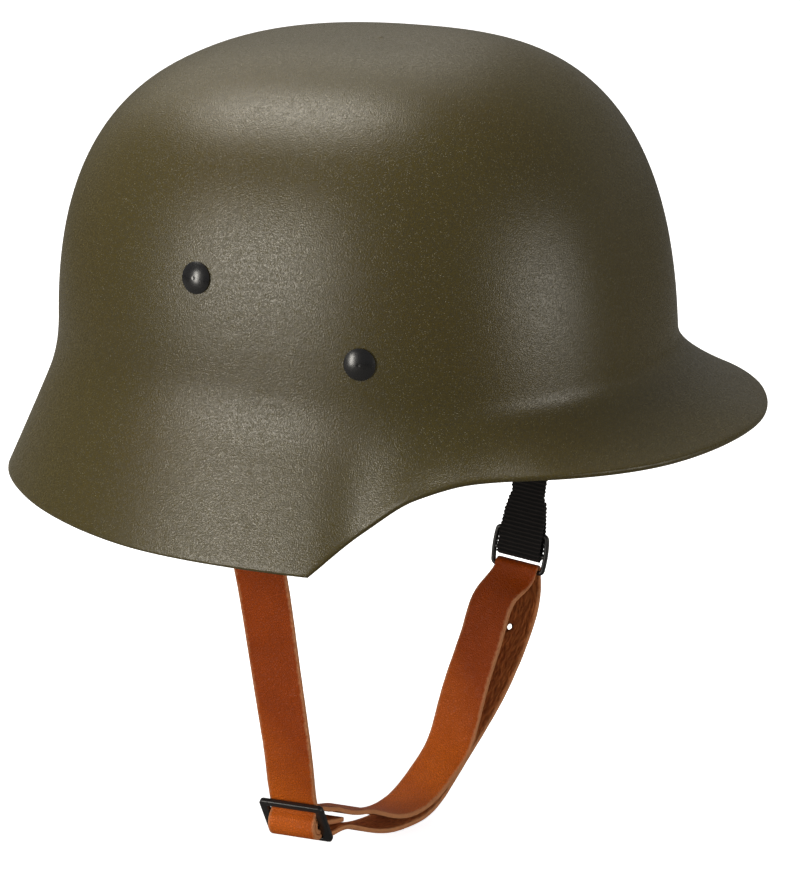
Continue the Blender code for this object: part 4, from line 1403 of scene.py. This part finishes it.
def drift_group():
    """Slow change of one colour towards a second one."""
    group, into, out = new_group(
        "colour drift", (("Vector", VECTOR, None), ("Scale", FLOAT, 20.0), ("Amount", FLOAT, 0.5),
                         ("Colour", COLOUR, None), ("Drift Colour", COLOUR, None)),
        (("Colour", COLOUR), ("Mask", FLOAT)))
    cloud = node(group, "ShaderNodeTexNoise", {"Vector": into.outputs["Vector"],
                                               "Scale": into.outputs["Scale"],
                                               "Detail": DRIFT_DETAIL})
    mask = spread(group, cloud.outputs["Fac"], DRIFT_FROM, DRIFT_TO)
    share = maths(group, "MULTIPLY", mask, into.outputs["Amount"])
    group.links.new(mix_colour(group, share, into.outputs["Colour"], into.outputs["Drift Colour"]),
                    out.inputs["Colour"])
    group.links.new(mask, out.inputs["Mask"])
    return group


def wear_group():
    """Mask of wear that starts at edges and breaks up unevenly."""
    group, into, out = new_group(
        "edge wear", (("Vector", VECTOR, None), ("Scale", FLOAT, 500.0), ("Edge", FLOAT, 0.0),
                      ("Amount", FLOAT, 0.5)), (("Mask", FLOAT),))
    broken = node(group, "ShaderNodeTexNoise", {"Vector": into.outputs["Vector"],
                                                "Scale": into.outputs["Scale"],
                                                "Detail": WEAR_DETAIL})
    reach = maths(group, "MULTIPLY_ADD", broken.outputs["Fac"], WEAR_BREAK, into.outputs["Edge"])
    mask = spread(group, reach, WEAR_FROM, WEAR_TO)
    group.links.new(maths(group, "MULTIPLY", mask, into.outputs["Amount"]), out.inputs["Mask"])
    return group


grain, drift, wear = grain_group(), drift_group(), wear_group()
print("shared groups:", grain.name, drift.name, wear.name)


# %% Helpers for a material
def start_material(material):
    """Empty material with a shader and an output, as (tree, shader)."""
    material.use_nodes = True
    tree = material.node_tree
    tree.nodes.clear()
    shader = tree.nodes.new("ShaderNodeBsdfPrincipled")
    output = tree.nodes.new("ShaderNodeOutputMaterial")
    tree.links.new(shader.outputs["BSDF"], output.inputs["Surface"])
    return tree, shader


def object_place(tree):
    """The piece's own coordinates."""
    return tree.nodes.new("ShaderNodeTexCoord").outputs["Object"]


def strip_value(tree, name, output):
    """A value that the strip helper stored on the piece."""
    stored = tree.nodes.new("ShaderNodeAttribute")
    stored.attribute_name = name
    return stored.outputs[output]


def bump(tree, shader, height, distance, strength=1.0):
    """Raises the surface by a height."""
    made = node(tree, "ShaderNodeBump", {"Height": height, "Distance": distance,
                                         "Strength": strength})
    tree.links.new(made.outputs["Normal"], shader.inputs["Normal"])


def paint(piece, material):
    """Gives a piece one material."""
    piece.data.materials.clear()
    piece.data.materials.append(material)


# %% [markdown]
# ## Finish of the shell
# The shell is moulded in olive plastic with a fine orange-peel grain, like sprayed enamel. It
# has a low sheen, so its highlights are wide and soft and break up into tiny points. Noise at
# half a millimetre makes the grain, a few raised specks catch the light, and a slow drift
# between a greener and a browner olive keeps the large dome from looking flat.

# %% Shell material
OLIVE = (0.066, 0.050, 0.0080, 1.0)
OLIVE_BROWN = (0.072, 0.051, 0.0090, 1.0)
OLIVE_PIT = (0.020, 0.015, 0.0020, 1.0)
OLIVE_SPECK = (0.24, 0.215, 0.12, 1.0)
OLIVE_DRIFT_SCALE = 14.0
OLIVE_DRIFT = 0.6
PEEL_SCALE = 2300.0
PEEL_SPECKS = 0.16
PEEL_HEIGHT = 0.00012
PIT_SHARE = 0.60
SPECK_SHARE = 0.38
SHELL_SMOOTH = 0.21
SHELL_ROUGH = 0.47


def shell_finish():
    """Olive moulded plastic with an orange-peel grain."""
    material = bpy.data.materials.new("olive moulded shell")
    tree, shader = start_material(material)
    place = object_place(tree)
    peel = use_group(tree, grain, {"Vector": place, "Scale": PEEL_SCALE, "Specks": PEEL_SPECKS})
    tone = use_group(tree, drift, {"Vector": place, "Scale": OLIVE_DRIFT_SCALE,
                                   "Amount": OLIVE_DRIFT, "Colour": OLIVE,
                                   "Drift Colour": OLIVE_BROWN})
    uneven = maths(tree, "MULTIPLY", peel.outputs["Cells"], PIT_SHARE)
    mottled = mix_colour(tree, uneven, tone.outputs["Colour"], OLIVE_PIT)
    speck = maths(tree, "MULTIPLY", peel.outputs["Specks"], SPECK_SHARE)
    colour = mix_colour(tree, speck, mottled, OLIVE_SPECK)
    tree.links.new(colour, shader.inputs["Base Color"])
    rough = spread(tree, peel.outputs["Cells"], 0.0, 1.0, SHELL_SMOOTH, SHELL_ROUGH)
    tree.links.new(rough, shader.inputs["Roughness"])
    bump(tree, shader, peel.outputs["Height"], PEEL_HEIGHT)
    return material


paint(shell, shell_finish())

# %% [markdown]
# ## Finish of the leather
# The smooth side has a fine printed grain of small wrinkled cells. The back is suede: matt,
# darker and streaky along the strip. The cut edges are paler, because the dye stops there. One
# material does all three, and the side value that the strip carries chooses between them. Near
# the slider the leather is painted paler, as painted light where the lower strap is lit more.

# %% Leather material
LEATHER = (0.37, 0.056, 0.0015, 1.0)
LEATHER_DARK = (0.30, 0.044, 0.0010, 1.0)
# Painted light: paler colours for the lower strap near the slider, where it is lit more, with the
# lean and the range of height over which they come in.
LEATHER_PAINTED_LIT = (0.72, 0.150, 0.010, 1.0)
LEATHER_PAINTED_LIT_DARK = (0.60, 0.112, 0.006, 1.0)
PAINTED_LIGHT_LEAN = -1.2
PAINTED_LIGHT_FROM = -0.258
PAINTED_LIGHT_TO = -0.300
LEATHER_VALLEY = (0.16, 0.025, 0.0015, 1.0)
SUEDE = (0.62, 0.19, 0.052, 1.0)
SUEDE_DARK = (0.32, 0.09, 0.024, 1.0)
CUT_EDGE = (0.60, 0.28, 0.13, 1.0)
WRINKLE_SCALE = 1150.0
WRINKLE_FROM = 0.02
WRINKLE_TO = 0.22
WRINKLE_SHARE = 0.35
WRINKLE_HEIGHT = -0.7
PRINT_SCALE = 1600.0
PRINT_SPECKS = 0.05
DYE_SCALE = 60.0
DYE_DRIFT = 0.7
NAP_STRETCH = (1.0, 0.35, 1.0)
NAP_SCALE = 900.0
NAP_DRIFT = 0.9
NAP_HEIGHT = 1.6
SMOOTH_FROM = 0.45
SMOOTH_TO = 0.6
CUT_SCALE = 700.0
CUT_AMOUNT = 0.75
SUEDE_ROUGH = 0.95
LEATHER_ROUGH = 0.48
LEATHER_SPECULAR = 0.2
LEATHER_RELIEF = 0.00020


def leather_finish():
    """Leather: grained face, suede back, paler cut edges, painted light near the slider."""
    material = bpy.data.materials.new("brown strap leather")
    tree, shader = start_material(material)
    place = strip_value(tree, "flat_place", "Vector")
    side = strip_value(tree, "face_side", "Fac")
    rim = strip_value(tree, "edge", "Fac")
    cells = node(tree, "ShaderNodeTexVoronoi", {"Vector": place, "Scale": WRINKLE_SCALE},
                 feature="DISTANCE_TO_EDGE")
    valley = spread(tree, cells.outputs["Distance"], WRINKLE_FROM, WRINKLE_TO, 1.0, 0.0)
    print_grain = use_group(tree, grain, {"Vector": place, "Scale": PRINT_SCALE,
                                          "Specks": PRINT_SPECKS})
    # Painted light: the leather is painted paler towards the slider, in place of the stronger light
    # on the lower strap.
    level = node(tree, "ShaderNodeSeparateXYZ", {0: object_place(tree)})
    nearness = maths(tree, "MULTIPLY_ADD", level.outputs["Y"], PAINTED_LIGHT_LEAN, level.outputs["Z"])
    painted_lit_share = spread(tree, nearness, PAINTED_LIGHT_FROM, PAINTED_LIGHT_TO)
    dye_and_painted_lit = mix_colour(tree, painted_lit_share, LEATHER, LEATHER_PAINTED_LIT)
    dark_dye_and_painted_lit = mix_colour(tree, painted_lit_share, LEATHER_DARK, LEATHER_PAINTED_LIT_DARK)
    tone = use_group(tree, drift, {"Vector": place, "Scale": DYE_SCALE, "Amount": DYE_DRIFT,
                                   "Colour": dye_and_painted_lit, "Drift Colour": dark_dye_and_painted_lit})
    face_colour = mix_colour(tree, maths(tree, "MULTIPLY", valley, WRINKLE_SHARE),
                             tone.outputs["Colour"], LEATHER_VALLEY)
    stretched = node(tree, "ShaderNodeMapping", {"Vector": place, "Scale": NAP_STRETCH})
    nap = use_group(tree, drift, {"Vector": stretched.outputs["Vector"], "Scale": NAP_SCALE,
                                  "Amount": NAP_DRIFT, "Colour": SUEDE,
                                  "Drift Colour": SUEDE_DARK})
    smooth_side = spread(tree, side, SMOOTH_FROM, SMOOTH_TO)
    colour = mix_colour(tree, smooth_side, nap.outputs["Colour"], face_colour)
    worn = use_group(tree, wear, {"Vector": place, "Scale": CUT_SCALE, "Edge": rim,
                                  "Amount": CUT_AMOUNT})
    colour = mix_colour(tree, worn.outputs["Mask"], colour, CUT_EDGE)
    tree.links.new(colour, shader.inputs["Base Color"])
    rough = spread(tree, smooth_side, 0.0, 1.0, SUEDE_ROUGH, LEATHER_ROUGH)
    tree.links.new(rough, shader.inputs["Roughness"])
    shader.inputs["Specular IOR Level"].default_value = LEATHER_SPECULAR
    wrinkle = maths(tree, "MULTIPLY_ADD", valley, WRINKLE_HEIGHT, print_grain.outputs["Height"])
    fuzz = maths(tree, "MULTIPLY", nap.outputs["Mask"], NAP_HEIGHT)
    height = node(tree, "ShaderNodeMix", {0: smooth_side, 2: fuzz, 3: wrinkle}).outputs[0]
    bump(tree, shader, height, LEATHER_RELIEF)
    return material


paint(leather_strap, leather_finish())

# %% [markdown]
# ## Finish of the webbing, the small hardware and the rivets
# The webbing is black yarn: nearly no gloss, a little lint, and a painted highlight on the rib
# crests, so it is darker between its ribs. The slider and the loop are black with a satin gloss
# that is a little worn on the corners. The rivets have a deeper black enamel, so their round
# highlight is brighter and clearer.

# %% Webbing material
YARN = (0.003, 0.0025, 0.0025, 1.0)
YARN_DARK = (0.002, 0.002, 0.002, 1.0)
# Painted highlight colour for the rib crests.
YARN_CREST_HIGHLIGHT = (0.020, 0.016, 0.015, 1.0)
YARN_LINT = (0.09, 0.08, 0.075, 1.0)
YARN_SCALE = 2600.0
YARN_SPECKS = 0.04
YARN_DRIFT_SCALE = 300.0
YARN_DRIFT = 0.8
CREST_HIGHLIGHT_FROM = 0.1
LINT_SHARE = 0.25
YARN_ROUGH = 0.85
YARN_SPECULAR = 0.3
YARN_RELIEF = 0.00015
YARN_STRENGTH = 0.7


def webbing_finish(material):
    """Black ribbed yarn with a little lint and a painted highlight on the rib crests."""
    tree, shader = start_material(material)
    place = strip_value(tree, "flat_place", "Vector")
    yarn = use_group(tree, grain, {"Vector": place, "Scale": YARN_SCALE, "Specks": YARN_SPECKS})
    tone = use_group(tree, drift, {"Vector": place, "Scale": YARN_DRIFT_SCALE,
                                   "Amount": YARN_DRIFT, "Colour": YARN,
                                   "Drift Colour": YARN_DARK})
    # Painted highlight: the rib crests are painted lighter, as where they catch the light, so the
    # yarn looks darker between the ribs.
    crest_highlight = spread(tree, rib_wave(tree, place, RIB_PITCH, RIB_WAVER), CREST_HIGHLIGHT_FROM, 1.0)
    yarn_with_crest_highlight = mix_colour(tree, crest_highlight, tone.outputs["Colour"], YARN_CREST_HIGHLIGHT)
    lint = maths(tree, "MULTIPLY", yarn.outputs["Specks"], LINT_SHARE)
    tree.links.new(mix_colour(tree, lint, yarn_with_crest_highlight, YARN_LINT), shader.inputs["Base Color"])
    shader.inputs["Roughness"].default_value = YARN_ROUGH
    shader.inputs["Specular IOR Level"].default_value = YARN_SPECULAR
    bump(tree, shader, yarn.outputs["Height"], YARN_RELIEF, YARN_STRENGTH)
    return material


webbing_finish(web_cloth)


# %% Hardware and rivet materials
ENAMEL_SCALE = 1200.0
ENAMEL_SPECKS = 0.03
ENAMEL_FROM = 0.3
ENAMEL_TO = 0.8
CORNER_FROM = 0.5
CORNER_TO = 0.62
CORNER_SCALE = 900.0
CORNER_AMOUNT = 0.6
Enamel = namedtuple("Enamel", "colour worn specular smooth rough relief")
SATIN = Enamel((0.013, 0.012, 0.012, 1.0), (0.06, 0.058, 0.055, 1.0), 0.5, 0.28, 0.40, 0.00003)
GLOSSY = Enamel((0.002, 0.0015, 0.0018, 1.0), (0.02, 0.018, 0.018, 1.0), 0.7, 0.26, 0.30,
                0.000005)


def dark_finish(material, enamel):
    """Black coated part with a slightly uneven gloss and worn corners."""
    tree, shader = start_material(material)
    place = object_place(tree)
    skin = use_group(tree, grain, {"Vector": place, "Scale": ENAMEL_SCALE,
                                   "Specks": ENAMEL_SPECKS})
    corner = tree.nodes.new("ShaderNodeNewGeometry").outputs["Pointiness"]
    edge = spread(tree, corner, CORNER_FROM, CORNER_TO)
    worn = use_group(tree, wear, {"Vector": place, "Scale": CORNER_SCALE, "Edge": edge,
                                  "Amount": CORNER_AMOUNT})
    tree.links.new(mix_colour(tree, worn.outputs["Mask"], enamel.colour, enamel.worn),
                   shader.inputs["Base Color"])
    shader.inputs["Specular IOR Level"].default_value = enamel.specular
    rough = spread(tree, skin.outputs["Height"], ENAMEL_FROM, ENAMEL_TO, enamel.smooth,
                   enamel.rough)
    tree.links.new(rough, shader.inputs["Roughness"])
    bump(tree, shader, skin.outputs["Height"], enamel.relief)
    return material


hardware = dark_finish(bpy.data.materials.new("black satin hardware"), SATIN)
dark_finish(rivet_paint, GLOSSY)
for piece in (slider, loop):
    paint(piece, hardware)
paint(rivets, rivet_paint)

# %% [markdown]
# ## Which solid each piece stands for
# Every finished piece now rides on the part's one body, hides the solids that it replaces and
# prints their names.

# %% Tie the pieces to the frame
stand_for(shell, "shell", "helmet_shell")
stand_for(rivets, "rivet", *(place.name for place in RIVETS))
stand_for(leather_strap, "leather", "chin_strap")
stand_for(slider, "hardware", "strap_slider")
stand_for(loop, "hardware", "strap_loop")
stand_for(webbing, "webbing", "elastic_webbing")

# %% [markdown]
# ## Floor and light
# A pale floor and four soft boxes give the plain look of a studio. One light on each side of the
# camera makes the two upright soft patches on the dome, one above makes the band along the
# crown, and one behind draws the thin light line along the outlines. The floor is bright to the
# camera alone, so it looks white without throwing light back under the visor.

# %% Floor
FLOOR_SIZE = 12.0
FLOOR_GAP = 0.004
BLACK = (0.0, 0.0, 0.0, 1.0)
FLOOR_WHITE = (0.93, 0.93, 0.93, 1.0)
FLOOR_GLOW = (0.82, 0.82, 0.83, 1.0)
FLOOR_BOUNCE = (0.25, 0.25, 0.25, 1.0)
FLOOR_ROUGH = 0.9


def floor_finish():
    """Matt floor that is white to the camera and throws back only a little light."""
    material = bpy.data.materials.new("white floor")
    tree, shader = start_material(material)
    seen = tree.nodes.new("ShaderNodeLightPath").outputs["Is Camera Ray"]
    tree.links.new(mix_colour(tree, seen, FLOOR_BOUNCE, FLOOR_WHITE), shader.inputs["Base Color"])
    tree.links.new(mix_colour(tree, seen, BLACK, FLOOR_GLOW), shader.inputs["Emission Color"])
    shader.inputs["Emission Strength"].default_value = 1.0
    shader.inputs["Roughness"].default_value = FLOOR_ROUGH
    return material


floor_level = cad_box[0].z - FLOOR_GAP
half = FLOOR_SIZE / 2
corners = [(-half, -half, floor_level), (half, -half, floor_level), (half, half, floor_level),
           (-half, half, floor_level)]
floor = add_object("floor", mesh_of("floor", corners, [(0, 1, 2, 3)]))
paint(floor, floor_finish())
floor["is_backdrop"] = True


# %% Lights
LAMP_COLOUR = (1.0, 0.96, 0.88)
LIGHT_DISTANCE = 1.7
SKY_WHITE = (1.0, 1.0, 1.0, 1.0)
SKY_STRENGTH = 0.24
SoftBox = namedtuple("SoftBox", "name azimuth elevation width height power")
SOFT_BOXES = (SoftBox("left soft box", -52.7, 6.0, 0.36, 1.10, 20.0),
              SoftBox("right soft box", 59.0, -1.0, 1.18, 0.97, 15.5),
              SoftBox("back soft box", -161.0, 46.0, 1.56, 1.57, 6.7),
              SoftBox("top soft box", -103.6, 65.3, 0.80, 1.00, 21.0))


def soft_light(box):
    """Rectangular light turned to the helmet, at angles from the camera and the horizon."""
    _, _, back = camera_directions(CAMERA_AZIMUTH + box.azimuth, box.elevation, 0.0)
    data = bpy.data.lights.new(box.name, "AREA")
    data.shape = "RECTANGLE"
    data.size, data.size_y = box.width, box.height
    data.energy = box.power
    data.color = LAMP_COLOUR
    light = bpy.data.objects.new(box.name, data)
    light.location = CAMERA_TARGET + back * LIGHT_DISTANCE
    light.rotation_euler = (CAMERA_TARGET - light.location).to_track_quat("-Z", "Y").to_euler()
    scene.collection.objects.link(light)
    return light


for box in SOFT_BOXES:
    soft_light(box)
world = bpy.data.worlds.new("studio")
world.use_nodes = True
sky = world.node_tree.nodes["Background"]
sky.inputs["Color"].default_value = SKY_WHITE
sky.inputs["Strength"].default_value = SKY_STRENGTH
scene.world = world
scene.view_settings.view_transform = "Standard"

# %% [markdown]
# ## Check the size
# The dressed helmet has to stay as large as its solids.

# %% Sizes
looks_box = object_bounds()
growth = [round(1000 * (b - a), 2) for a, b in zip(cad_box[0][:] + cad_box[1][:],
                                                   looks_box[0][:] + looks_box[1][:])]
print("looks box less solid box in mm:", growth)
